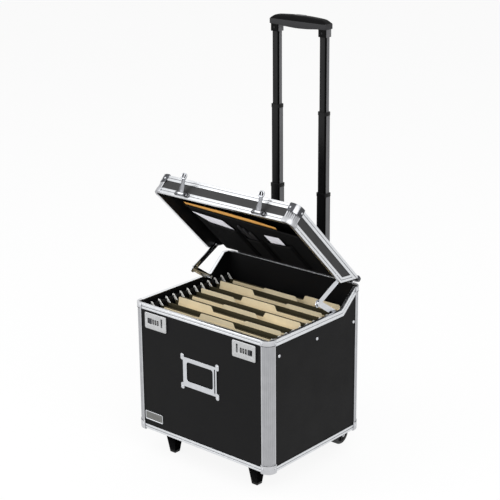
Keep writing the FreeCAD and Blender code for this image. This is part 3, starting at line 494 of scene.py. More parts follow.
class Workpiece:
    """A mesh being shaped, in millimetres."""

    def __init__(self) -> None:
        """Starts with nothing on the bench."""
        self.bm = bmesh.new()
        self.wear = self.bm.faces.layers.float.new("wear")

    def take(self, mesh: bpy.types.Mesh) -> "Workpiece":
        """Adds the faces of a mesh.

        Args:
            mesh: The mesh.

        Returns:
            This workpiece.
        """
        self.bm.from_mesh(mesh)
        layers = self.bm.faces.layers.float
        self.wear = layers.get("wear") or layers.new("wear")
        return self

    @classmethod
    def copy_of(cls, node: str) -> "Workpiece":
        """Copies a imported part, merged and cleaned of the lines across its flat faces.

        Args:
            node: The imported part.

        Returns:
            The copy.
        """
        work = cls().take(frame["nodes"][node].data)
        work.bm.transform(Matrix.Scale(PER_METRE, 4))
        bmesh.ops.remove_doubles(work.bm, verts=work.bm.verts, dist=COPY_WELD)
        bmesh.ops.dissolve_limit(work.bm, angle_limit=math.radians(FLAT_TURN), verts=work.bm.verts,
                                 edges=work.bm.edges, use_dissolve_boundaries=False)
        return work

    def moved(self, matrix: Matrix) -> "Workpiece":
        """Moves the workpiece, and keeps its faces outward when it is mirrored.

        Args:
            matrix: The move.

        Returns:
            This workpiece.
        """
        self.bm.transform(matrix)
        if matrix.determinant() < 0:
            bmesh.ops.reverse_faces(self.bm, faces=self.bm.faces)
        return self

    def add(self, other: "Workpiece", matrix: Matrix | None = None) -> "Workpiece":
        """Joins another workpiece's mesh to this one.

        Args:
            other: The other workpiece, which is used up.
            matrix: Where to move it first, if anywhere.

        Returns:
            This workpiece.
        """
        if matrix is not None:
            other.moved(matrix)
        spare = bpy.data.meshes.new("spare")
        other.bm.to_mesh(spare)
        other.bm.free()
        self.take(spare)
        bpy.data.meshes.remove(spare)
        return self

    def block(self, low: Point, high: Point) -> "Workpiece":
        """Adds a box.

        Args:
            low: Its lowest corner.
            high: Its highest corner.

        Returns:
            This workpiece.
        """
        size = Vector(high) - Vector(low)
        matrix = Matrix.Translation((Vector(low) + Vector(high)) / 2) @ Matrix.Diagonal((*size, 1.0))
        bmesh.ops.create_cube(self.bm, size=1.0, matrix=matrix)
        return self

    def drum(self, centre: Point, axis: Axis, radii: Flat, length: float, sides: int) -> "Workpiece":
        """Adds a round drum.

        Args:
            centre: Its middle.
            axis: The direction of its axis, x or y.
            radii: Radius at its low end and at its high end.
            length: Length along the axis.
            sides: Number of sides.

        Returns:
            This workpiece.
        """
        turn = turned(90.0, Axis.Y) if axis is Axis.X else turned(-90.0, Axis.X)
        bmesh.ops.create_cone(self.bm, cap_ends=True, segments=sides, radius1=radii[0], radius2=radii[1],
                              depth=length, matrix=Matrix.Translation(centre) @ turn)
        return self

    def corners(self, outline: Sequence[Flat], axis: Axis, along: float) -> list[bmesh.types.BMVert]:
        """New vertices at an outline's corners, at a place along an axis."""
        return [self.bm.verts.new(put(axis, a, b, along)) for a, b in outline]

    def loop(self, verts: list[bmesh.types.BMVert]) -> list[bmesh.types.BMEdge]:
        """New edges round a closed line of vertices."""
        return [self.bm.edges.new(ends) for ends in zip(verts, verts[1:] + verts[:1])]

    def slab(self, outline: Sequence[Flat], axis: Axis, start: float, end: float,
             hole: Sequence[Flat] = ()) -> "Workpiece":
        """Adds an outline swept along an axis.

        Args:
            outline: Corners in the other two axes, in their order.
            axis: The sweep's direction.
            start: Where the sweep starts.
            end: Where it ends.
            hole: Corners of a hole in it, if any.

        Returns:
            This workpiece.
        """
        verts = self.corners(outline, axis, start)
        if hole:
            edges = self.loop(verts) + self.loop(self.corners(hole, axis, start))
            faces = bmesh.ops.bridge_loops(self.bm, edges=edges)["faces"]
        else:
            faces = [self.bm.faces.new(verts)]
        swept = bmesh.ops.extrude_face_region(self.bm, geom=faces)
        moved = [item for item in swept["geom"] if isinstance(item, bmesh.types.BMVert)]
        bmesh.ops.translate(self.bm, verts=moved, vec=put(axis, 0.0, 0.0, end - start))
        ends = {vert for face in faces for vert in face.verts} | set(moved)
        sides = list({face for vert in ends for face in vert.link_faces})
        bmesh.ops.recalc_face_normals(self.bm, faces=sides)
        return self

    def lathe(self, profile: Sequence[Flat], steps: int, solid: bool = False) -> "Workpiece":
        """Adds a profile of (x, radius) turned about the x axis.

        Args:
            profile: The closed outline of a ring's wall, or the outside of a solid from end to end.
            steps: Number of sides.
            solid: True to lead the profile's ends to the axis.

        Returns:
            This workpiece.
        """
        if solid:
            profile = [(profile[0][0], POLE), *profile, (profile[-1][0], POLE)]
        verts = self.corners(profile, Axis.Y, 0.0)
        bmesh.ops.spin(self.bm, geom=verts + self.loop(verts), cent=(0, 0, 0), axis=(1, 0, 0),
                       angle=2 * math.pi, steps=steps, use_merge=True)
        bmesh.ops.remove_doubles(self.bm, verts=self.bm.verts, dist=TURNED_WELD)
        bmesh.ops.recalc_face_normals(self.bm, faces=self.bm.faces)
        return self

    def soften(self, width: float, segments: int = 2, angle: float = 40.0) -> "Workpiece":
        """Rounds the sharp edges and marks the new faces as worn.

        Args:
            width: Width of the rounding.
            segments: Steps of the rounding.
            angle: Edges that bend by more than this, in degrees, are sharp.

        Returns:
            This workpiece.
        """
        sharp = [edge for edge in self.bm.edges
                 if edge.is_manifold and edge.calc_face_angle(0.0) > math.radians(angle)]
        made = bmesh.ops.bevel(self.bm, geom=sharp, offset=width, offset_type="OFFSET", segments=segments,
                               profile=0.5, affect="EDGES", clamp_overlap=True, material=-1)
        for face in made["faces"]:
            face[self.wear] = 1.0
        return self

    def thicken(self, thickness: float) -> "Workpiece":
        """Gives an open sheet a wall.

        Args:
            thickness: The wall's thickness, on the side away from the sheet's normals.

        Returns:
            This workpiece.
        """
        bmesh.ops.solidify(self.bm, geom=self.bm.faces[:], thickness=thickness)
        bmesh.ops.recalc_face_normals(self.bm, faces=self.bm.faces)
        return self

    def cuts(self, axis: Axis, places: Sequence[float]) -> "Workpiece":
        """Adds rows of vertices across an axis.

        Args:
            axis: The axis.
            places: Where on the axis the rows are.

        Returns:
            This workpiece.
        """
        for place in places:
            geom = [*self.bm.verts, *self.bm.edges, *self.bm.faces]
            bmesh.ops.bisect_plane(self.bm, geom=geom, plane_co=put(axis, 0.0, 0.0, place),
                                   plane_no=put(axis, 0.0, 0.0, 1.0), dist=CUT_WELD)
        return self

    def piece(self, name: str, body: str, finish: Finish, slot: str, replaces: Sequence[str] = (),
              smooth: float = 35.0, matrix: Matrix | None = None,
              others: Sequence[Finish] = ()) -> bpy.types.Object:
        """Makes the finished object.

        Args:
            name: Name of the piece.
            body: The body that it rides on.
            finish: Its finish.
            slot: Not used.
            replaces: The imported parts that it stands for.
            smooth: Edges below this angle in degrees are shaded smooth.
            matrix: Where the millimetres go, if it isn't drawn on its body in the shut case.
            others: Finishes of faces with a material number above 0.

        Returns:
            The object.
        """
        self.bm.transform(PLACING.drawn_on(body) if matrix is None else matrix)
        mesh = bpy.data.meshes.new(name)
        self.bm.to_mesh(mesh)
        self.bm.free()
        mesh.shade_smooth()
        mesh.set_sharp_from_angle(angle=math.radians(smooth))
        for each in (finish, *others):
            mesh.materials.append(each.material())
        piece = bpy.data.objects.new(name, mesh)
        bpy.context.scene.collection.objects.link(piece)
        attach(piece, body)
        if replaces:
            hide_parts(*replaces)
        log.info("%s: %d faces on %s", name, len(mesh.polygons), body)
        return piece

    def stand_for(self, node: str, slot: str, *finishes: Finish) -> None:
        """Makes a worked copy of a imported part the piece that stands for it."""
        self.piece(node + "_finished", body_of(node), finishes[0], slot, [node], matrix=PLACING.packed(),
                   others=finishes[1:])


def dress(node: str, finish: Finish) -> None:
    """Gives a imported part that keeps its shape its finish.

    Args:
        node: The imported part.
        finish: Its finish.
    """
    mesh = frame["nodes"][node].data
    mesh.materials.clear()
    mesh.materials.append(finish.material())
    log.info("%s: dressed in %s", node, finish.name)


def refined(node: str, finish: Finish, slot: str, edge: float, segments: int = 2) -> None:
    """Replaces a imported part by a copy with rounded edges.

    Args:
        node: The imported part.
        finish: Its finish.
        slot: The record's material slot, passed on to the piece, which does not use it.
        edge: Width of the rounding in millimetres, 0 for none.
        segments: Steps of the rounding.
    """
    work = Workpiece.copy_of(node)
    if edge:
        work.soften(edge, segments)
    work.stand_for(node, slot, finish)


@dataclass
class Shell:
    """Panels, bright strips, ribbed posts and corner caps of the case and the lid."""

    strip_edge: float = 0.25
    cap_edge: float = 0.45
    half_width: float = 215.0
    case_depth: float = 349.0
    corner_radius: float = 21.5
    cap_wall: float = 1.2
    cap_reach: float = 26.0
    cap_span: Flat = (360.0, 382.2)
    groove: float = 0.6
    groove_slack: float = 0.05
    foot_span: Flat = (332.2, 344.2)
    foot_wall: float = 1.25
    foot_edge: float = 0.3
    rivet_radii: Flat = (1.4, 2.2)
    rivet_length: float = 1.0
    rivet_lift: float = 0.4
    rivet_inset: float = 5.0
    rivet_sides: int = 20
    stripe_turn: float = 15.0
    stripe_proud: float = 0.35
    stripe_sunk: float = 0.2
    stripe_edge: float = 0.2
    # Sizes and places of the dark lines at the case's corner caps, which are painted shadow.
    seam_proud: float = 0.06
    seam_sunk: float = 0.3
    seam_inset: float = 3.0
    seams: tuple[tuple[float, float, bool], ...] = ((18.3, 19.7, True), (18.3, 19.7, False),
                                                    (317.5, 318.7, True), (361.5, 362.7, False))
    panels: tuple[str, ...] = ("front_panel", "back_panel", "left_panel", "right_panel", "bottom_panel",
                               "lid_top_panel")
    lid_walls: tuple[str, ...] = ("lid_front_panel", "lid_side_panels")
    strips: tuple[str, ...] = ("case_rims", "bottom_edges", "lid_top_edges", "lid_rims")
    posts: tuple[str, ...] = ("corner_posts", "lid_corner_posts")
    rivets: tuple[str, ...] = ("case_rivets", "lid_rivets")

    def cap_stripes(self) -> None:
        """Adds the ridge down the middle of each of the lid's front caps."""
        work = Workpiece()
        radius = self.corner_radius + self.cap_wall
        for side, middle_turn in ((1.0, 315.0), (-1.0, 225.0)):
            centre = (side * (self.half_width - self.corner_radius), self.corner_radius)
            start, end = [middle_turn + sign * self.stripe_turn for sign in SIGNS]
            outline = arc(centre, radius + self.stripe_proud, start, end, steps=8)
            outline += arc(centre, radius - self.stripe_sunk, end, start, steps=8)
            work.add(Workpiece().slab(outline, Axis.Z, *self.cap_span).soften(self.stripe_edge))
        # The ridges take the bend colour, lighter than the darkened caps round them: a painted highlight.
        work.piece("lid_cap_ridges", "lid", SHADED_BEND, "bright_cap")

    def corner_line(self, grow: float, reach: float) -> list[Flat]:
        """The line round a cap on the right front corner, from the front face to the side.

        Args:
            grow: How far outside the cap it runs.
            reach: How far from the corner it starts and ends.

        Returns:
            Its points in x and y.
        """
        wall = self.cap_wall + grow
        centre = (self.half_width - self.corner_radius, self.corner_radius)
        bend = arc(centre, self.corner_radius + wall, 270.0, 360.0, steps=10)
        return [(self.half_width - reach, -wall)] + bend + [(self.half_width + wall, reach)]

    def corner_band(self, proud: float, sunk: float, reach: float) -> list[Flat]:
        """A thin band round the right front corner, from outside a cap's face to inside it."""
        return self.corner_line(proud, reach) + self.corner_line(-sunk, reach)[::-1]

    def cap_seams(self) -> None:
        """Adds a dark line near the edge of each of the case's corner caps: painted shadow of the gap at the
        cap's edge.
        """
        work = Workpiece()
        outline = self.corner_band(self.seam_proud, self.seam_sunk, self.cap_reach - self.seam_inset)
        behind = Matrix.Translation((0.0, self.case_depth, 0.0)) @ Matrix.Diagonal((1.0, -1.0, 1.0, 1.0))
        for low, high, front in self.seams:
            for side in (1.0, -1.0):
                place = mirrored(side) if front else behind @ mirrored(side)
                work.add(Workpiece().slab(outline, Axis.Z, low, high), place)
        work.piece("cap_seams", "case", PAINTED_SHADE, "bright_cap")

    def foot_caps(self) -> None:
        """Adds the low caps round the lid's front corners, each with two rivets."""
        work = Workpiece()
        outline = self.corner_band(0.0, self.foot_wall, self.cap_reach)
        inset, out = self.cap_reach - self.rivet_inset, self.cap_wall + self.rivet_lift
        middle = sum(self.foot_span) / 2
        size = (self.rivet_length, self.rivet_sides)
        for side in (1.0, -1.0):
            cap = Workpiece().slab(outline, Axis.Z, *self.foot_span).soften(self.foot_edge)
            cap.drum((self.half_width - inset, -out, middle), Axis.Y, self.rivet_radii, *size)
            cap.drum((self.half_width + out, inset, middle), Axis.X, self.rivet_radii[::-1], *size)
            work.add(cap, mirrored(side))
        # The foot caps take the darker bend aluminium: painted shade.
        work.piece("lid_foot_caps", "lid", SHADED_BEND, "bright_cap")

    def two_toned(self, node: str, finish: Finish, second: Finish, edge: float, bend: bool) -> None:
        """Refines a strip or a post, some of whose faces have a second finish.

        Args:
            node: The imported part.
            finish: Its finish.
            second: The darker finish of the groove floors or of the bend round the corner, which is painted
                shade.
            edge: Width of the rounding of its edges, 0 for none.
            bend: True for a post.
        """
        drawn = PLACING.drawn_on(body_of(node)).inverted() @ PLACING.packed()
        work = Workpiece.copy_of(node)
        for face in work.bm.faces:
            x, y, _ = drawn @ face.calc_center_median()
            sides = (self.half_width - abs(x), min(y, self.case_depth - y))
            floor = abs(min(sides) - self.groove) < self.groove_slack
            face.material_index = int(max(sides) < self.corner_radius if bend else floor)
        if edge:
            work.soften(edge)
        work.stand_for(node, "corner_post" if bend else "bright_strip", finish, second)

    def build(self) -> None:
        """Dresses the panels and refines the metal round them."""
        for node in self.panels:
            dress(node, VINYL)
        for node in self.lid_walls:
            # The lid's walls take the lighter vinyl: painted light.
            dress(node, LIT_LID_VINYL)
        for node in self.strips:
            # The groove floors are darker: painted shade.
            self.two_toned(node, BRIGHT_STRIP, SHADED_STRIP_METAL, self.strip_edge, False)
        for node in self.posts:
            # The posts' bends are darker than their flats: painted shade.
            self.two_toned(node, POST, SHADED_BEND, 0.0, True)
        refined("case_corner_caps", POST, "bright_cap", self.cap_edge)
        # The lid's corner caps take the darker metal: painted shade.
        refined("lid_corner_caps", SHADED_METAL, "bright_cap", self.cap_edge)
        for node in self.rivets:
            refined(node, CHROME, "bright_cap", 0.0)
        self.cap_stripes()
        self.cap_seams()
        self.foot_caps()


@dataclass
class Locks:
    """Two combination locks with their dials and sliders."""

    centre_x: float = 141.0
    centre_z: float = 293.0
    plate_front: float = -2.5
    plate_edge: float = 0.3
    slider_edge: float = 0.5
    dial_centres: tuple[float, ...] = (-7.1, 0.5, 8.1)
    dial_y: float = 1.9
    dial_radius: float = 5.0
    dial_width: float = 3.4
    dial_sides: int = 10
    dial_rim: float = 0.35
    axle_hole: float = 1.06
    digit_height: float = 2.3
    digit_share: float = 0.7
    digit_depth: float = 0.04
    slot_half: Flat = (2.0, 5.6)
    # Sizes of the black sheets round the dial windows and the staple's slot, which are painted shade.
    inlay_border: float = 0.75
    inlay_proud: float = 0.08
    inlay_sunk: float = 0.3
    inlay_corners: Flat = (0.7, 0.1)
    inlay_edge: float = 0.06
    # The black floor of the slider's pocket is painted shade.
    pocket: tuple[float, float, float] = (-26.0, -13.0, 7.0)
    pocket_floor: Flat = (0.19, 0.3)
    stem_half: float = 2.2
    staple_slot: Span = (18.7, 22.3, -7.5, 12.5)

    def digit(self, number: int) -> Workpiece:
        """A numeral as a thin solid, upright in x and y.

        Args:
            number: The numeral.

        Returns:
            The solid.
        """
        curve = bpy.data.curves.new("digit", "FONT")
        curve.body = str(number)
        curve.size = self.digit_height / self.digit_share
        curve.extrude = self.digit_depth / 2
        curve.resolution_u = 3
        curve.align_x = "CENTER"
        curve.align_y = "CENTER"
        holder = bpy.data.objects.new("digit", curve)
        mesh = bpy.data.meshes.new_from_object(holder)
        work = Workpiece().take(mesh)
        bpy.data.objects.remove(holder)
        bpy.data.curves.remove(curve)
        bpy.data.meshes.remove(mesh)
        return work

    def dial(self, name: str, x: float) -> None:
        """Builds one dial with its ring of numerals.

        Args:
            name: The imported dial.
            x: Where the dial's middle is.
        """
        centre = Matrix.Translation((x, self.dial_y, self.centre_z))
        step = 360.0 / self.dial_sides
        narrow = math.cos(math.radians(step / 2))
        half, flat = self.dial_width / 2, self.dial_radius * narrow
        profile = [(-half, self.axle_hole), (-half, flat - self.dial_rim), (self.dial_rim - half, flat)]
        wheel = Workpiece().lathe(both_ways(profile), steps=self.dial_sides)
        grow = Matrix.Diagonal((1.0, 1 / narrow, 1 / narrow, 1.0))
        wheel.moved(centre @ turned(step / 2, Axis.X) @ grow)
        wheel.piece(name + "_finished", body_of(name), DIAL, "dial_black", [name], smooth=20.0)
        numerals = Workpiece()
        upright = Matrix.Translation((0.0, -flat, 0.0)) @ turned(90.0, Axis.X)
        for number in range(self.dial_sides):
            numerals.add(self.digit(number), centre @ turned(step * number, Axis.X) @ upright)
        numerals.piece(name + "_numerals", body_of(name), INK, "dial_black")

    def inlays(self, side: str, sign: float) -> None:
        """Adds black surrounds round the dials and the staple's slot, and a black floor in the slider's
        pocket: painted shade of these recesses.

        Args:
            side: Which lock.
            sign: 1 for the right lock, whose drawing is mirrored.
        """
        work = Workpiece()
        front, back = self.plate_front - self.inlay_proud, self.plate_front + self.inlay_sunk
        wide, high = self.slot_half
        spans = [(u - wide, u + wide, -high, high) for u in self.dial_centres]
        for span in spans + [self.staple_slot]:
            middle, half_u, half_z = framed(span)
            outer, hole = [rounded_box(half_u + border, half_z + border, corner, steps=3)
                           for border, corner in zip((self.inlay_border, 0.0), self.inlay_corners)]
            surround = Workpiece().slab(outer, Axis.Y, front, back, hole)
            work.add(surround.soften(self.inlay_edge, segments=1), middle)
        out, inward, half = self.pocket
        for low, high in ((-half, -self.stem_half), (self.stem_half, half)):
            work.block((out, self.pocket_floor[0], low), (inward, self.pocket_floor[1], high))
        work.moved(Matrix.Translation((sign * self.centre_x, 0.0, self.centre_z)) @ mirrored(-sign))
        work.piece(side + "_lock_inlays", "case", PAINTED_SHADE, "dial_black")

    def build(self) -> None:
        """Builds both locks."""
        for side, sign in SIDES:
            refined(side + "_lock_plate", NICKEL, "lock_metal", self.plate_edge)
            # The slider's darker metal is painted shade.
            refined(side + "_lock_slider", SHADED_METAL, "lock_metal", self.slider_edge, segments=3)
            self.inlays(side, sign)
            for index, offset in enumerate(self.dial_centres, 1):
                self.dial(f"{side}_dial_{index}", sign * (self.centre_x - offset))


@dataclass
class FrontFittings:
    """The label holder and the blank plate."""

    label_edge: float = 0.5
    plate_span: Span = (-187.0, -128.0, 27.0, 50.0)
    plate_back: float = 1.5
    plate_corner: float = 2.5
    plate_edge: float = 0.15
    border: float = 1.8
    border_depth: float = 0.4
    border_slope: float = 0.3
    field_front: float = 0.25
    field_lap: float = 0.1
    field_corner: float = 0.6
    field_edge: float = 0.05

    def build(self) -> None:
        """Builds the fittings."""
        refined("label_holder", CHROME, "label_metal", self.label_edge, segments=3)
        middle, half_x, half_z = framed(self.plate_span)
        plate = Workpiece().slab(rounded_box(half_x, half_z, self.plate_corner), Axis.Y, 0.0, self.plate_back)
        face = min(plate.bm.faces, key=lambda f: f.calc_center_median().y)
        for inset, depth in ((self.border, 0.0), (self.border_slope, -self.border_depth)):
            bmesh.ops.inset_region(plate.bm, faces=[face], thickness=inset, depth=depth)
        plate.soften(self.plate_edge, segments=1, angle=30.0).moved(middle)
        plate.piece("blank_plate", "case", CHROME, "label_metal", ["name_plate"])
        inset = self.border + self.border_slope
        outline = rounded_box(half_x - inset, half_z - inset, self.field_corner)
        field = Workpiece().slab(outline, Axis.Y, self.field_front, self.border_depth + self.field_lap)
        field.soften(self.field_edge, segments=1).moved(middle)
        field.piece("blank_plate_field", "case", DULL_NICKEL, "label_metal")


@dataclass
class Hardware:
    """Hasps, stays, hinge leaves and rails."""

    stays: tuple[str, ...] = ("stay_lower_links", "stay_upper_links", "case_stay_brackets",
                              "lid_stay_brackets")
    stay_edge: float = 0.4
    hinge: tuple[str, ...] = ("case_hinge_leaf", "lid_hinge_leaf")
    hinge_edge: float = 0.2
    rail_edge: float = 0.25
    base_edge: float = 0.35
    hasp_x: float = 120.5
    axis: Point = (0.0, -4.5, 338.0)
    lean: float = 26.0
    half_width: float = 8.0
    leaf_side: Line = ((8.0, 0.0), (8.0, 11.0), (7.4, 15.0), (5.8, 21.0), (5.0, 24.5), (5.0, 34.5),
                       (5.6, 36.3))
    leaf_span: Flat = (-5.5, -3.5)
    leaf_edge: float = 0.4
    nose_z: float = 380.0
    nose_turns: Flat = (-36.0, 216.0)
    barrel: float = 3.0
    barrel_edge: float = 0.4
    barrel_hole: float = 1.26
    rim_radii: Flat = (7.8, 5.9)
    rim_proud: float = 0.7
    rim_sunk: float = 0.2
    rim_edge: float = 0.3
    eye_proud: float = 0.12
    eye_sunk: float = 0.1
    eye_gap: float = 0.2
    staple_half: float = 1.3
    staple_span: Flat = (371.5, 387.5)
    staple_depth: float = 11.0
    staple_wall: float = 1.8
    staple_roots: Flat = (0.4, -0.6)
    staple_edge: float = 0.5
    stud_x: float = 16.6
    stud_radii: Flat = (5.6, 7.0)
    stud_foot: float = -1.1
    stud_line: Line = ((0.0, 1.0), (0.25, 1.0), (0.5, 0.86), (0.2, 0.74), (0.2, 0.62), (0.8, 0.52),
                       (1.0, 0.2))
    stud_groove: Line = ((0.15, 0.72), (0.44, 0.85), (0.44, 0.56), (0.15, 0.62))

    def staple(self) -> Workpiece:
        """The loop that drops into the lock, with a round outer end.

        Returns:
            The loop.
        """
        front, (low, high) = self.leaf_span[0], self.staple_span
        half, middle = (high - low) / 2, (high + low) / 2
        centre = (front - self.staple_depth + half, middle)
        loops = []
        for inset, root in zip((0.0, self.staple_wall), self.staple_roots):
            radius = half - inset
            ends = [(front + root, middle + sign * radius) for sign in SIGNS]
            loops.append(arc(centre, radius, 90.0, 270.0, steps=14) + ends)
        outer, hole = loops
        work = Workpiece().slab(outer, Axis.X, -self.staple_half, self.staple_half, hole)
        return work.soften(self.staple_edge)

    def leaf(self) -> Workpiece:
        """The hasp's round-ended plate with a neck.

        Returns:
            The plate.
        """
        right = [(x, self.axis[2] + height) for x, height in self.leaf_side]
        round_end = arc((0.0, self.nose_z), self.half_width, *self.nose_turns, steps=20)
        outline = right + round_end + [(-x, z) for x, z in right[::-1]]
        return Workpiece().slab(outline, Axis.Y, *self.leaf_span).soften(self.leaf_edge)

    def bright_work(self) -> Workpiece:
        """The hasp's raised ring, its barrel and its staple.

        Returns:
            The three together.
        """
        front = self.leaf_span[0]
        circle, hole = [arc((0.0, self.nose_z), radius, 0.0, 345.0, steps=23) for radius in self.rim_radii]
        work = Workpiece().slab(circle, Axis.Y, front - self.rim_proud, front + self.rim_sunk, hole)
        work.soften(self.rim_edge)
        wide, outer, cut = self.half_width, self.barrel, self.barrel_edge
        profile = [(-wide, self.barrel_hole), (-wide, outer - cut), (cut - wide, outer)]
        work.add(Workpiece().lathe(both_ways(profile), steps=32), Matrix.Translation(self.axis))
        return work.add(self.staple())

    def eye(self) -> Workpiece:
        """The dark disc inside the hasp's ring, open where the staple stands: painted shade inside the ring.

        Returns:
            The two halves of the disc.
        """
        front, radius = self.leaf_span[0], self.rim_radii[1]
        turn = math.degrees(math.acos((self.staple_half + self.eye_gap) / radius))
        edge = arc((0.0, self.nose_z), radius, -turn, turn, steps=14)
        work = Workpiece()
        for side in SIGNS:
            outline = [(side * x, z) for x, z in edge]
            work.add(Workpiece().slab(outline, Axis.Y, front - self.eye_proud, front + self.eye_sunk))
        return work

    def stud(self, line: Line, x: float, radius: float, solid: bool) -> Workpiece:
        """A turned piece on the hasp's base.

        Args:
            line: Its profile, in shares of its height and of its radius.
            x: Where it is.
            radius: Its radius, twice its height.
            solid: True for the stud, False for the dark ring in its groove, which is painted shade.

        Returns:
            The piece.
        """
        profile = [(up * radius / 2, out * radius) for up, out in line]
        place = Matrix.Translation((x, self.stud_foot, self.axis[2]))
        return Workpiece().lathe(profile, steps=32, solid=solid).moved(place @ FORWARD)

    def hasps(self) -> None:
        """Builds both hasps and the studs beside them."""
        leaning = PLACING.lid() @ turned_at(self.axis, self.lean)
        studs, grooves = Workpiece(), Workpiece()
        for side, sign in SIDES:
            body, middle = side + "_hasp", sign * self.hasp_x
            for name, work, finish in (("plate", self.leaf(), SMOKED), ("ring", self.bright_work(), CHROME),
                                       ("eye", self.eye(), PAINTED_SHADE)):
                work.moved(Matrix.Translation((middle, 0.0, 0.0)))
                work.piece(f"{body}_{name}", body, finish, "lock_metal", [body], matrix=leaning)
            for end, radius in zip(SIGNS, self.stud_radii):
                x = middle + end * self.stud_x
                studs.add(self.stud(self.stud_line, x, radius, True))
                grooves.add(self.stud(self.stud_groove, x, radius, False))
        studs.piece("hasp_studs", "lid", SMOKED, "lock_metal")
        # The dark rings in the studs' grooves are painted shade.
        grooves.piece("hasp_stud_grooves", "lid", PAINTED_SHADE, "lock_metal")

    def build(self) -> None:
        """Builds the hasps and refines the rest."""
        for node in self.stays:
            refined(node, CHROME, "stay_metal", self.stay_edge)
        for node in self.hinge:
            refined(node, RAIL, "steel", self.hinge_edge)
        refined("file_rails", RAIL, "rail_metal", self.rail_edge)
        # The hasp bases take the darker strip metal: painted shade.
        refined("hasp_bases", SHADED_STRIP_METAL, "lock_metal", self.base_edge)
        self.hasps()


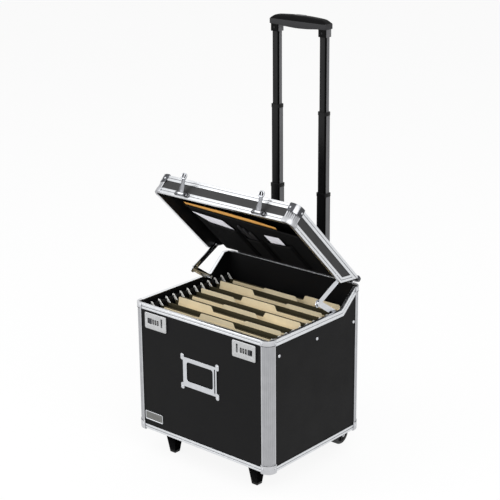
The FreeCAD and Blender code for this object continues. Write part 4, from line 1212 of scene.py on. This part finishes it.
@dataclass
class Handle:
    """Telescopic tubes with their collars, the clamps, the grip and its button."""

    tube_x: float = 73.0
    tube_y: float = 377.5
    wall: float = 1.5
    corner: float = 3.2
    least_corner: float = 0.6
    side_proud: float = 0.12
    side_sunk: float = 0.3
    side_edge: float = 0.1
    # Sizes of the black lines on the tubes' corners, which are painted shade.
    bead_proud: float = 0.06
    bead_sunk: float = 0.4
    sizes: tuple[Flat, ...] = ((31.2, 26.0), (27.6, 22.4), (24.0, 18.8), (20.4, 15.2))
    spans: tuple[Flat, ...] = ((18.0, 380.0), (320.0, 574.0), (514.0, 776.0), (716.0, 985.0))
    nodes: tuple[str, ...] = ("handle_base_tubes", "handle_stage_1_tubes", "handle_stage_2_tubes",
                              "handle_stage_3_tubes")
    collar_height: float = 9.0
    collar_proud: float = 0.9
    collar_lip: float = 2.0
    collar_edge: float = 0.5
    slide_gap: float = 0.3
    clamp_edge: float = 1.0
    button_edge: float = 0.3
    grip_edge: float = 0.5
    grip_half: float = 86.0
    grip_cuts: tuple[float, ...] = (15.0, 30.0, 45.0, 60.0, 68.0, 73.0, 77.0, 80.0, 83.0)
    crown_low: float = 986.5
    crown_top: float = 1000.0
    crown_lap: float = 0.8
    crown_arch: float = 5.0
    crown_end: float = 68.0
    end_drop: float = 7.0
    belly_half: float = 57.0
    belly_low: float = 974.5
    belly_drop: float = 2.5
    belly_fade: float = 6.0
    sideways: float = 0.9
    socket_front: float = 365.9
    screw_z: float = 965.0
    screw: Line = ((-0.2, 2.6), (0.5, 2.6), (0.8, 2.1), (0.8, 1.2), (0.3, 1.0))

    def outline(self, size: Flat, grow: float = 0.0) -> list[Flat]:
        """A tube's rounded outline, grown or shrunk all round."""
        corner = max(self.least_corner, self.corner + grow)
        return rounded_box(size[0] / 2 + grow, size[1] / 2 + grow, corner, steps=4)

    def side_plates(self, size: Flat, low: float, high: float) -> Workpiece:
        """Thin lighter plates on the two sides of a tube: painted highlight.

        Args:
            size: The tube's width and depth.
            low: Where the plates start.
            high: Where they end.

        Returns:
            The plates.
        """
        half_x, half_y = size[0] / 2, size[1] / 2 - self.corner
        work = Workpiece()
        for side in SIGNS:
            left, right = sorted((side * (half_x - self.side_sunk), side * (half_x + self.side_proud)))
            plate = Workpiece().block((left, -half_y, low), (right, half_y, high))
            work.add(plate.soften(self.side_edge, segments=1))
        return work

    def corner_beads(self, size: Flat, low: float, high: float) -> Workpiece:
        """Black lines over two opposite corners of a tube: painted shade where the front turns into the side.

        Args:
            size: The tube's width and depth.
            low: Where the beads start.
            high: Where they end.

        Returns:
            The lines.
        """
        centre = (size[0] / 2 - self.corner, -size[1] / 2 + self.corner)
        shade_line = arc(centre, self.corner + self.bead_proud, 270.0, 360.0, steps=8)
        shade_line += arc(centre, self.corner - self.bead_sunk, 360.0, 270.0, steps=8)
        work = Workpiece().slab(shade_line, Axis.Z, low, high)
        return work.slab([(-x, -y) for x, y in shade_line], Axis.Z, low, high)

    def stage(self, index: int) -> None:
        """Builds one pair of tubes.

        Args:
            index: The stage, from 0 for the fixed tubes.
        """
        size = self.sizes[index]
        low, high = self.spans[index]
        last = index == len(self.sizes) - 1
        collar, top = high - self.collar_height, high if last else high - self.collar_lip
        pair, sides, shade_lines = Workpiece(), Workpiece(), Workpiece()
        for sign in SIGNS:
            place = Matrix.Translation((sign * self.tube_x, self.tube_y, 0.0))
            outer, bore = self.outline(size), self.outline(size, -self.wall)
            pair.add(Workpiece().slab(outer, Axis.Z, low, top, bore), place)
            sides.add(self.side_plates(size, low, collar), place)
            shade_lines.add(self.corner_beads(size, low, collar), place)
            if not last:
                sleeve = self.outline(size, self.collar_proud)
                hole = self.outline(self.sizes[index + 1], self.slide_gap)
                pair.add(Workpiece().slab(sleeve, Axis.Z, collar, top, outer), place)
                lip = Workpiece().slab(sleeve, Axis.Z, top, high, hole)
                pair.add(lip.soften(self.collar_edge), place)
        node = self.nodes[index]
        pair.piece(node + "_painted", body_of(node), TUBE_BLACK, "black_tube", [node], smooth=25.0)
        # The tubes' side plates are lighter: painted highlight.
        sides.piece(node + "_sides", body_of(node), LIT_TUBE_SIDE, "black_tube")
        # The black corner lines are painted shade.
        shade_lines.piece(node + "_beads", body_of(node), PAINTED_SHADE, "black_tube")

    def grip(self) -> None:
        """Arches the grip's crown and belly, and splits the moulding into lit and shaded copies: a lighter
        front and back, which is painted light, a darker crown and sockets, which is painted shade, and
        lighter socket sides, which are a painted highlight.
        """
        work = Workpiece.copy_of("grip").soften(self.grip_edge, segments=3)
        work.cuts(Axis.X, [side * x for x in self.grip_cuts for side in SIGNS] + [0.0])
        heights = (self.belly_low, self.crown_low, self.crown_top)
        belly, low, top = [PLACING.ground_clearance + height for height in heights]
        for vert in work.bm.verts:
            across, share = abs(vert.co.x), unit((vert.co.z - low) / (top - low))
            past = max(0.0, across - self.crown_end) / (self.grip_half - self.crown_end)
            vert.co.z -= self.crown_arch * share * (across / self.grip_half) ** 2
            vert.co.z -= self.end_drop * share * past ** 2
            under = unit(1.0 - (across / self.belly_half) ** 2)
            vert.co.z -= self.belly_drop * under * unit((belly - vert.co.z) / self.belly_fade + 1.0)
        for face in work.bm.faces:
            centre = face.calc_center_median()
            socket = centre.z < belly and abs(centre.x) > self.belly_half
            # Crown and sockets darker: painted shade; the sockets' sides lighter: painted highlight.
            face.material_index = int(socket or centre.z > low + self.crown_lap)
            if socket and abs(face.normal.x) > self.sideways:
                face.material_index = 2
        work.stand_for("grip", "grip_plastic", LIT_GRIP, SHADED_CROWN, LIT_TUBE_SIDE)

    def screws(self) -> None:
        """Adds the screw on the front of each of the grip's sockets."""
        work = Workpiece()
        for sign in SIGNS:
            place = Matrix.Translation((sign * self.tube_x, self.socket_front, self.screw_z))
            work.add(Workpiece().lathe(self.screw, steps=24, solid=True), place @ FORWARD)
        work.piece("grip_screws", "handle_stage_3", RAIL, "steel")

    def build(self) -> None:
        """Builds the tubes and refines the mouldings."""
        for index in range(len(self.sizes)):
            self.stage(index)
        refined("handle_clamps", PLASTIC, "grip_plastic", self.clamp_edge, segments=3)
        self.grip()
        self.screws()
        refined("grip_button", BUTTON, "button_plastic", self.button_edge)


@dataclass
class Undercarriage:
    """Feet at the front, wheels and their brackets at the back."""

    foot_edge: float = 1.6
    bracket_edge: float = 0.5
    wheel: Point = (149.0, 348.0, -38.0)
    radius: float = 27.0
    half_width: float = 12.0
    rim: float = 20.0
    shoulder: Line = ((0.0, 3.4), (0.9, 1.4), (3.4, 0.0))
    tread: Line = ((-4.5, 0.0), (-4.25, 0.9), (-3.75, 0.9), (-3.5, 0.0))
    dish: Line = ((0.0, 4.06), (0.0, 8.0), (1.2, 8.8), (4.0, 9.4), (4.0, 17.0), (0.8, 17.8), (0.0, 18.6),
                  (0.0, 20.0))
    spokes: int = 6
    spoke_end: float = 11.1
    spoke_half: float = 1.3
    spoke_span: Flat = (8.2, 18.0)
    spoke_edge: float = 0.4
    axle_end: float = 15.5
    axle_cap: Line = ((0.0, 6.6), (1.2, 6.4), (2.1, 5.0), (2.3, 3.0), (1.7, 2.2))

    def tyre(self) -> Workpiece:
        """A tyre with round shoulders and two grooves, about the origin.

        Returns:
            The tyre.
        """
        profile = [(-self.half_width, self.rim)]
        profile += [(inward - self.half_width, self.radius - down) for inward, down in self.shoulder]
        profile += [(along, self.radius - down) for along, down in self.tread]
        return Workpiece().lathe(both_ways(profile), steps=96)

    def hub(self) -> Workpiece:
        """A dished hub with spokes on both sides, about the origin.

        Returns:
            The hub.
        """
        profile = [(inward - self.half_width, radius) for inward, radius in self.dish]
        work = Workpiece().lathe(both_ways(profile), steps=64)
        low, high = [(sign * self.spoke_end, sign * self.spoke_half, height)
                     for sign, height in zip(SIGNS, self.spoke_span)]
        for index in range(self.spokes):
            spoke = Workpiece().block(low, high).soften(self.spoke_edge)
            work.add(spoke, turned(360.0 * index / self.spokes, Axis.X))
        return work

    def build(self) -> None:
        """Builds the wheels and refines the rest."""
        refined("front_feet", PLASTIC, "foot_plastic", self.foot_edge, segments=3)
        refined("wheel_brackets", PLASTIC, "foot_plastic", self.bracket_edge)
        x, y, z = self.wheel
        caps = Workpiece()
        for sign in SIGNS:
            for end in SIGNS:
                place = Matrix.Translation((sign * x + end * self.axle_end, y, z))
                cap = Workpiece().lathe(self.axle_cap, steps=32, solid=True)
                caps.add(cap, place @ mirrored(end))
        caps.piece("axle_caps", "case", CHROME, "steel")
        for side, sign in SIDES:
            body, place = side + "_wheel", Matrix.Translation((sign * x, y, z))
            for name, work, finish, slot in (("tyre", self.tyre(), RUBBER, "tyre_rubber"),
                                             ("hub", self.hub(), HUB, "hub_plastic")):
                work.moved(place).piece(f"{side}_{name}", body, finish, slot, [f"{body}_{name}"])


@dataclass
class Folders:
    """Hanging folders on their hooks, with manila folders inside."""

    count: int = 6
    first_y: float = 52.0
    pitch: float = 51.0
    half_gap: float = 12.7
    half_gusset: float = 3.5
    half_width: float = 186.0
    bottom: float = 55.0
    fold: Flat = (1.5, 2.0)
    bends: Flat = (200.0, 125.0)
    rod_low: float = 299.0
    rod_edge: float = 0.3
    hem_span: Flat = (298.2, 309.2)
    hem_half: float = 1.1
    hem_edge: float = 0.9
    sheet: float = 0.5
    manila_half_width: float = 173.0
    manila_bottom: float = 85.0
    manila_top: float = 307.0
    manila_corner: float = 3.0
    tab_top: float = 320.0
    tab_slope: float = 8.0
    tab_cuts: int = 3
    tab_round: float = 2.5
    tab_foot: Flat = (0.5, 0.8)
    tab_shoulder: Flat = (2.0, 1.4)
    leaf: float = 0.45
    leaf_gap: float = 2.3
    foot_gap: float = 0.8
    offsets: Flat = (11.05, 2.6)
    columns: range = range(-165, 166, 30)
    rows: tuple[float, ...] = (150.0, 210.0, 260.0, 290.0)
    bow: float = 0.1
    bow_width: float = 58.0
    bow_step: float = 1.7

    def hanging(self, middle: float) -> Workpiece:
        """One hanging folder: two flaps joined at the foot, each hemmed round its rod.

        Args:
            middle: Where the folder hangs.

        Returns:
            The folder.
        """
        work = Workpiece()
        line = []
        low, high = self.hem_span
        for side in SIGNS:
            top, foot = middle + side * self.half_gap, middle + side * self.half_gusset
            run = [(top, self.rod_low), ((top * 2 + foot) / 3, self.bends[0]),
                   ((top + foot * 2) / 3, self.bends[1]), (foot, self.bottom + self.fold[1]),
                   (foot - side * self.fold[0], self.bottom)]
            line += run if side < 0 else run[::-1]
            hem = Workpiece().block((-self.half_width, top - self.hem_half, low),
                                    (self.half_width, top + self.hem_half, high))
            work.add(hem.soften(self.hem_edge, segments=3))
        inner = [(y + math.copysign(self.sheet, middle - y), z + (self.sheet if z == self.bottom else 0.0))
                 for y, z in line]
        return work.add(Workpiece().slab(line + inner[::-1], Axis.X, -self.half_width, self.half_width))

    def tab_end(self, edge: float) -> list[Flat]:
        """The left end of a tab.

        Args:
            edge: Where the tab's share of the leaf starts.

        Returns:
            Points from the leaf's left side to the tab's top.
        """
        half, top, high = self.manila_half_width, self.manila_top, self.tab_top
        if edge <= -half:
            return [(-half, high - self.manila_corner), (edge + self.tab_round, high)]
        shoulder = edge + self.tab_slope
        return [(-half, top), (edge - self.tab_round, top), (edge + self.tab_foot[0], top + self.tab_foot[1]),
                (shoulder - self.tab_shoulder[0], high - self.tab_shoulder[1]),
                (shoulder + self.tab_round, high)]

    def leaf_outline(self, tab: int | None) -> list[Flat]:
        """Front view of a manila leaf.

        Args:
            tab: Which third carries the tab, or None for a plain leaf.

        Returns:
            Corners in x and z.
        """
        half, top, corner = self.manila_half_width, self.manila_top, self.manila_corner
        if tab is None:
            left = right = [(-half, top - corner), (corner - half, top)]
        else:
            third = 2 * half / self.tab_cuts
            left, right = [self.tab_end(cut * third - half) for cut in (tab, self.tab_cuts - 1 - tab)]
        foot = [(half, self.manila_bottom), (-half, self.manila_bottom)]
        return foot + left + [(-x, z) for x, z in reversed(right)]

    def manila_leaf(self, tab: int | None, foot_y: float, top_y: float, wave: float) -> Workpiece:
        """A leaf that leans from its foot to its top and is slightly bowed.

        Args:
            tab: Which third carries the tab, or None.
            foot_y: Where its foot is.
            top_y: Where its top is.
            wave: Phase of the bow.

        Returns:
            The leaf.
        """
        work = Workpiece().slab(self.leaf_outline(tab), Axis.Y, -self.leaf / 2, self.leaf / 2)
        work.cuts(Axis.X, self.columns).cuts(Axis.Z, self.rows)
        rise = self.manila_top - self.manila_bottom
        for vert in work.bm.verts:
            up = (vert.co.z - self.manila_bottom) / rise
            bend = self.bow * up * math.sin(vert.co.x / self.bow_width + wave)
            vert.co.y += foot_y + (top_y - foot_y) * up + bend
        return work

    def build(self) -> None:
        """Builds the hanging folders, their hooks and the manila folders."""
        hanging, manila = Workpiece(), Workpiece()
        for index in range(self.count):
            middle = self.first_y + self.pitch * index
            hanging.add(self.hanging(middle))
            for number, side in enumerate(SIGNS, 2 * index):
                if number == 0:
                    continue
                top, foot = [middle + side * offset for offset in self.offsets]
                leaves = sorted([(top, foot), (top - side * self.leaf_gap, foot - side * self.foot_gap)])
                for tab, (top_y, foot_y) in zip((None, number % self.tab_cuts), leaves):
                    manila.add(self.manila_leaf(tab, foot_y, top_y, self.bow_step * number))
        hanging.piece("hanging_sheets", "folders", HANGING, "folder_green", ["hanging_folders"])
        manila.piece("manila_leaves", "folders", MANILA, "manila", ["manila_folders"])
        refined("folder_rods", ROD_WHITE, "rod_white", self.rod_edge)


@dataclass(frozen=True)
class Pocket:
    """One cloth pocket: its sides, where its open edge meets them, its foot, and what it is sewn to."""

    name: str
    left: float
    right: float
    left_y: float
    right_y: float
    foot: float
    base: float
    rise: float
    cloth: float = 0.9
    seam: float = 9.0
    slack: float = 0.2
    ripple: float = 0.16
    ripple_size: Flat = (17.0, 29.0)
    stitch_step: float = 3.4
    stitch_inset: float = 2.4
    hem_rows: Flat = (1.6, 8.0)
    hem_end: float = 9.5
    hem_lift: float = 0.45
    side_start: float = 10.0
    thread: tuple[Point, Point] = ((-1.15, -0.25, -0.22), (1.15, 0.25, 0.3))

    def mouth(self, x: float) -> float:
        """Where the open edge is at a place across."""
        return self.left_y + (self.right_y - self.left_y) * (x - self.left) / (self.right - self.left)

    def face(self, x: float, y: float) -> float:
        """Height of the cloth's outer face, which rises from the seams at its sides and foot.

        Args:
            x: Place across.
            y: Place along.

        Returns:
            The height.
        """
        inside = min(x - self.left, self.right - x, self.foot - y) / self.seam
        share = math.sin(unit(inside) * math.pi / 2)
        wide, long = self.ripple_size
        ripple = self.ripple * share * math.sin(x / wide) * math.sin(y / long)
        return self.base - self.cloth - share * (self.rise - self.cloth - self.slack) + ripple

    def grid(self, end: float, cells: tuple[int, int], proud: float = 0.0) -> Workpiece:
        """The cloth from its mouth to a share of the way to its foot.

        Args:
            end: Share where it ends.
            cells: Number of cells across and along.
            proud: How far it stands out from the cloth's outer face.

        Returns:
            An open sheet.
        """
        work = Workpiece()
        bmesh.ops.create_grid(work.bm, x_segments=cells[0], y_segments=cells[1], size=0.5)
        for vert in work.bm.verts:
            x = self.left + (vert.co.x + 0.5) * (self.right - self.left)
            y = self.mouth(x) + (vert.co.y + 0.5) * end * (self.foot - self.mouth(x))
            vert.co = (x, y, self.face(x, y) - proud)
        bmesh.ops.reverse_faces(work.bm, faces=work.bm.faces)
        return work

    def stitches(self) -> Workpiece:
        """Rows of stitches along the sides, the foot and the hem.

        Returns:
            All the stitches.
        """
        work = Workpiece()
        ends = (self.left + self.stitch_inset, self.right - self.stitch_inset)
        low = self.foot - self.stitch_inset
        runs = [((x, self.mouth(x) + self.side_start), (x, low)) for x in ends]
        runs += [tuple((x, self.mouth(x) + drop) for x in ends) for drop in self.hem_rows]
        runs.append(tuple((x, low) for x in ends))
        for start, end in runs:
            line = Vector(end) - Vector(start)
            turn = Matrix.Rotation(math.atan2(line.y, line.x), 4, "Z")
            for index in range(int(line.length / self.stitch_step)):
                x, y = Vector(start) + line * ((index + 0.5) * self.stitch_step / line.length)
                lift = self.hem_lift if y < self.mouth(x) + self.hem_end else 0.0
                stitch = Workpiece().block(*self.thread)
                work.add(stitch, Matrix.Translation((x, y, self.face(x, y) - lift)) @ turn)
        return work


@dataclass
class Organiser:
    """The cloth board in the lid with its pockets, and the papers and pens in them."""

    board_half: float = 190.0
    board_y: Flat = (20.0, 315.0)
    board_edge: float = 0.9
    binding: float = 7.0
    binding_corners: Flat = (7.1, 1.5)
    binding_span: Flat = (372.0, 372.8)
    binding_edge: float = 0.2
    wide: Pocket = Pocket("document_pocket", -186.0, 186.0, 86.0, 112.0, 300.0, 372.5, 20.5, seam=5.0)
    small: tuple[Pocket, ...] = (
        Pocket("paper_pocket", -140.0, -50.0, 144.0, 156.0, 285.0, 352.3, 6.2),
        Pocket("pen_pocket", -42.0, 12.0, 184.0, 184.0, 285.0, 352.3, 6.2),
        Pocket("card_pocket", 28.0, 112.0, 179.0, 170.0, 285.0, 352.3, 6.2))
    cells: int = 30
    hem: float = 9.0
    hem_proud: float = 0.4
    hem_sunk: float = 0.3
    envelope: Line = ((-179.5, 79.2), (-55.0, 82.0), (40.0, 89.5), (100.0, 99.5), (92.0, 200.0),
                      (-179.5, 200.0))
    envelope_span: Flat = (355.0, 355.9)
    envelope_edge: float = 0.3
    flap: Line = ((-177.0, 79.8), (-55.0, 82.6), (40.0, 90.1), (96.0, 99.6), (-40.0, 135.0))
    flap_span: Flat = (354.65, 355.05)
    flap_edge: float = 0.12
    paper: Line = ((-167.0, 109.0), (-76.0, 121.0), (-57.0, 164.0), (-54.0, 215.0), (-110.0, 215.0),
                   (-124.0, 152.0))
    paper_span: Flat = (348.6, 349.4)
    paper_edge: float = 0.15
    card: Line = ((-23.5, 0.0), (23.5, 0.0), (23.5, 80.0), (-23.5, 80.0))
    card_top: Point = (66.5, 142.4, 348.4)
    card_turn: float = -4.0
    card_depth: float = 0.5
    card_edge: float = 0.12
    pens: tuple[tuple[Flat, Flat], ...] = (((-30.0, 127.0), (-24.0, 270.0)), ((-20.0, 138.0), (-12.0, 272.0)),
                                           ((-6.0, 149.0), (0.0, 272.0)))
    pen_height: float = 349.4
    pen_radius: float = 2.3
    pen_cap: Line = ((0.0, 0.6), (0.8, 0.9), (38.0, 1.0), (38.6, 0.84))
    pen_tip: Line = ((14.0, 0.84), (4.0, 0.4), (0.0, 0.15))
    clip: tuple[tuple[Point, Point], ...] = (((1.5, -0.7, -3.2), (31.0, 0.7, -2.5)),
                                             ((1.5, -0.7, -2.7), (4.5, 0.7, -1.15)))
    clip_edge: float = 0.2

    def sew(self, pocket: Pocket, node: str) -> bpy.types.Object:
        """Builds a pocket with its hem tape and its stitches.

        Args:
            pocket: The pocket.
            node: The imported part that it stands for.

        Returns:
            The pocket's cloth.
        """
        slot = "organiser_cloth"
        share = self.hem / (pocket.foot - pocket.mouth(pocket.left))
        cloth = pocket.grid(1.0, (self.cells, self.cells)).thicken(pocket.cloth)
        sheet = cloth.piece(pocket.name + "_cloth", "lid", CLOTH, slot, [node], smooth=60.0)
        tape = pocket.grid(share, (self.cells, 2), self.hem_proud).thicken(self.hem_proud + self.hem_sunk)
        hem = tape.piece(pocket.name + "_hem", "lid", TAPE, slot, smooth=60.0)
        thread = pocket.stitches().piece(pocket.name + "_stitches", "lid", THREAD, slot)
        return sheet

    def pen(self, top: Flat, foot: Flat) -> Workpiece:
        """A plain pen with a cap, lying in its pocket.

        Args:
            top: Where its cap ends.
            foot: Where its tip is.

        Returns:
            The pen.
        """
        line = Vector(foot) - Vector(top)
        profile = [(along, share * self.pen_radius) for along, share in self.pen_cap]
        profile += [(line.length - back, share * self.pen_radius) for back, share in self.pen_tip]
        work = Workpiece().lathe(profile, steps=20, solid=True)
        for low, high in self.clip:
            work.add(Workpiece().block(low, high).soften(self.clip_edge))
        turn = Matrix.Rotation(math.atan2(line.y, line.x), 4, "Z")
        return work.moved(Matrix.Translation((*top, self.pen_height)) @ turn)

    def contents(self) -> None:
        """Adds the envelope, the paper, the card and the pens."""
        work = Workpiece().slab(self.envelope, Axis.Z, *self.envelope_span).soften(self.envelope_edge)
        work.add(Workpiece().slab(self.flap, Axis.Z, *self.flap_span).soften(self.flap_edge))
        work.piece("envelope", "lid", ENVELOPE, "manila")
        papers = Workpiece().slab(self.paper, Axis.Z, *self.paper_span).soften(self.paper_edge)
        card = Workpiece().slab(self.card, Axis.Z, 0.0, self.card_depth).soften(self.card_edge)
        papers.add(card, Matrix.Translation(self.card_top) @ turned(self.card_turn, Axis.Z))
        papers.piece("papers", "lid", PAPER, "manila")
        pens = Workpiece()
        for top, foot in self.pens:
            pens.add(self.pen(top, foot))
        pens.piece("pens", "lid", BUTTON, "organiser_cloth")

    def build(self) -> None:
        """Builds the board, its pockets and what is in them."""
        refined("organiser_board", CLOTH, "organiser_cloth", self.board_edge, segments=3)
        low, high = self.board_y
        outer, hole = [rounded_box(self.board_half - inset, (high - low) / 2 - inset, corner)
                       for inset, corner in zip((self.board_edge, self.binding), self.binding_corners)]
        tape = Workpiece().slab(outer, Axis.Z, *self.binding_span, hole)
        tape.soften(self.binding_edge).moved(Matrix.Translation((0.0, (low + high) / 2, 0.0)))
        tape.piece("board_binding", "lid", TAPE, "organiser_cloth")
        wide = self.sew(self.wide, "document_pocket")
        for pocket in self.small:
            self.sew(pocket, "card_pockets")
        self.contents()


@dataclass(frozen=True)
class Lamp:
    """A soft square lamp: where it hangs and what it points at, in metres, its side and its watts."""

    name: str
    place: Point
    aim: Point
    size: float
    power: float

    def hang(self) -> None:
        """Puts the lamp in the scene."""
        data = bpy.data.lights.new(self.name, "AREA")
        data.shape = "SQUARE"
        data.size = self.size
        data.energy = self.power
        lamp = bpy.data.objects.new(self.name, data)
        toward = (Vector(self.aim) - Vector(self.place)).to_track_quat("-Z", "Y")
        lamp.matrix_world = Matrix.Translation(self.place) @ toward.to_matrix().to_4x4()
        bpy.context.scene.collection.objects.link(lamp)


@dataclass
class Studio:
    """Floor, world, lamps and the camera at the photograph's angle."""

    camera_place: Point = (2.1538, -2.4871, 1.607)
    yaw: float = 40.99
    pitch: float = 18.25
    roll: float = -0.5
    lens: float = 103.44
    sensor: float = 36.0
    floor_size: float = 60.0
    floor_light: Shade = (0.95, 0.95, 0.95, 1.0)
    floor_roughness: float = 0.9
    floor_glow: float = 0.9
    sky: float = 0.5
    lamps: tuple[Lamp, ...] = (Lamp("key", (2.6, -1.4, 2.6), (0.0, 0.0, 0.4), 3.2, 72.0),
                               Lamp("front", (-1.8, -3.0, 2.4), (0.0, 0.0, 0.4), 3.2, 50.0),
                               Lamp("top", (0.0, 0.2, 3.4), (0.0, 0.0, 0.4), 7.0, 58.0),
                               Lamp("low", (-2.2, -2.8, 0.6), (0.0, 0.0, 0.3), 1.4, 10.0))

    def camera(self) -> None:
        """Sets up the camera."""
        data = bpy.data.cameras.new("camera")
        data.lens = self.lens
        data.sensor_width = self.sensor
        camera = bpy.data.objects.new("camera", data)
        turn = turned(self.yaw, Axis.Z) @ turned(90.0 - self.pitch, Axis.X) @ turned(self.roll, Axis.Z)
        camera.matrix_world = Matrix.Translation(self.camera_place) @ turn
        bpy.context.scene.collection.objects.link(camera)
        bpy.context.scene.camera = camera

    def world(self) -> None:
        """A white surround to look at, and a softer one to light by."""
        world = bpy.data.worlds.new("studio")
        bpy.context.scene.world = world
        bench = NodeBench(world)
        lit = bench.feed(bench.tree.nodes["Background"], {"Color": WHITE, "Strength": self.sky})
        white = bench.add("Background", {"Color": WHITE, "Strength": 1.0})
        bench.show("World Output", bench.seen(), lit, white)

    def floor(self) -> None:
        """A pale floor that keeps the shadow."""
        work = bmesh.new()
        bmesh.ops.create_grid(work, x_segments=1, y_segments=1, size=self.floor_size / 2)
        mesh = bpy.data.meshes.new("floor")
        work.to_mesh(mesh)
        work.free()
        material = bpy.data.materials.new("pale_floor")
        bench = NodeBench(material)
        looks = {"Base Color": self.floor_light, "Roughness": self.floor_roughness}
        pale = bench.feed(bench.tree.nodes["Principled BSDF"], looks)
        glow = bench.add("Emission", {"Strength": 1.0})
        bench.show("Material Output", bench.math("MULTIPLY", bench.seen(), self.floor_glow), pale, glow)
        mesh.materials.append(material)
        floor = bpy.data.objects.new("floor", mesh)
        bpy.context.scene.collection.objects.link(floor)

    def build(self) -> None:
        """Sets up the whole studio."""
        bpy.context.scene.view_settings.view_transform = "Standard"
        self.camera()
        self.world()
        self.floor()
        for lamp in self.lamps:
            lamp.hang()


def main() -> None:
    """Builds the studio and each sub-assembly in turn."""
    logging.basicConfig(level=logging.INFO, format="%(message)s")
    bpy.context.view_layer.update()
    for part in (Studio(), Shell(), Locks(), FrontFittings(), Hardware(), Handle(), Undercarriage(),
                 Folders(), Organiser()):
        log.info("building %s", type(part).__name__)
        part.build()
    bpy.context.view_layer.update()


if __name__ == "__main__":
    main()
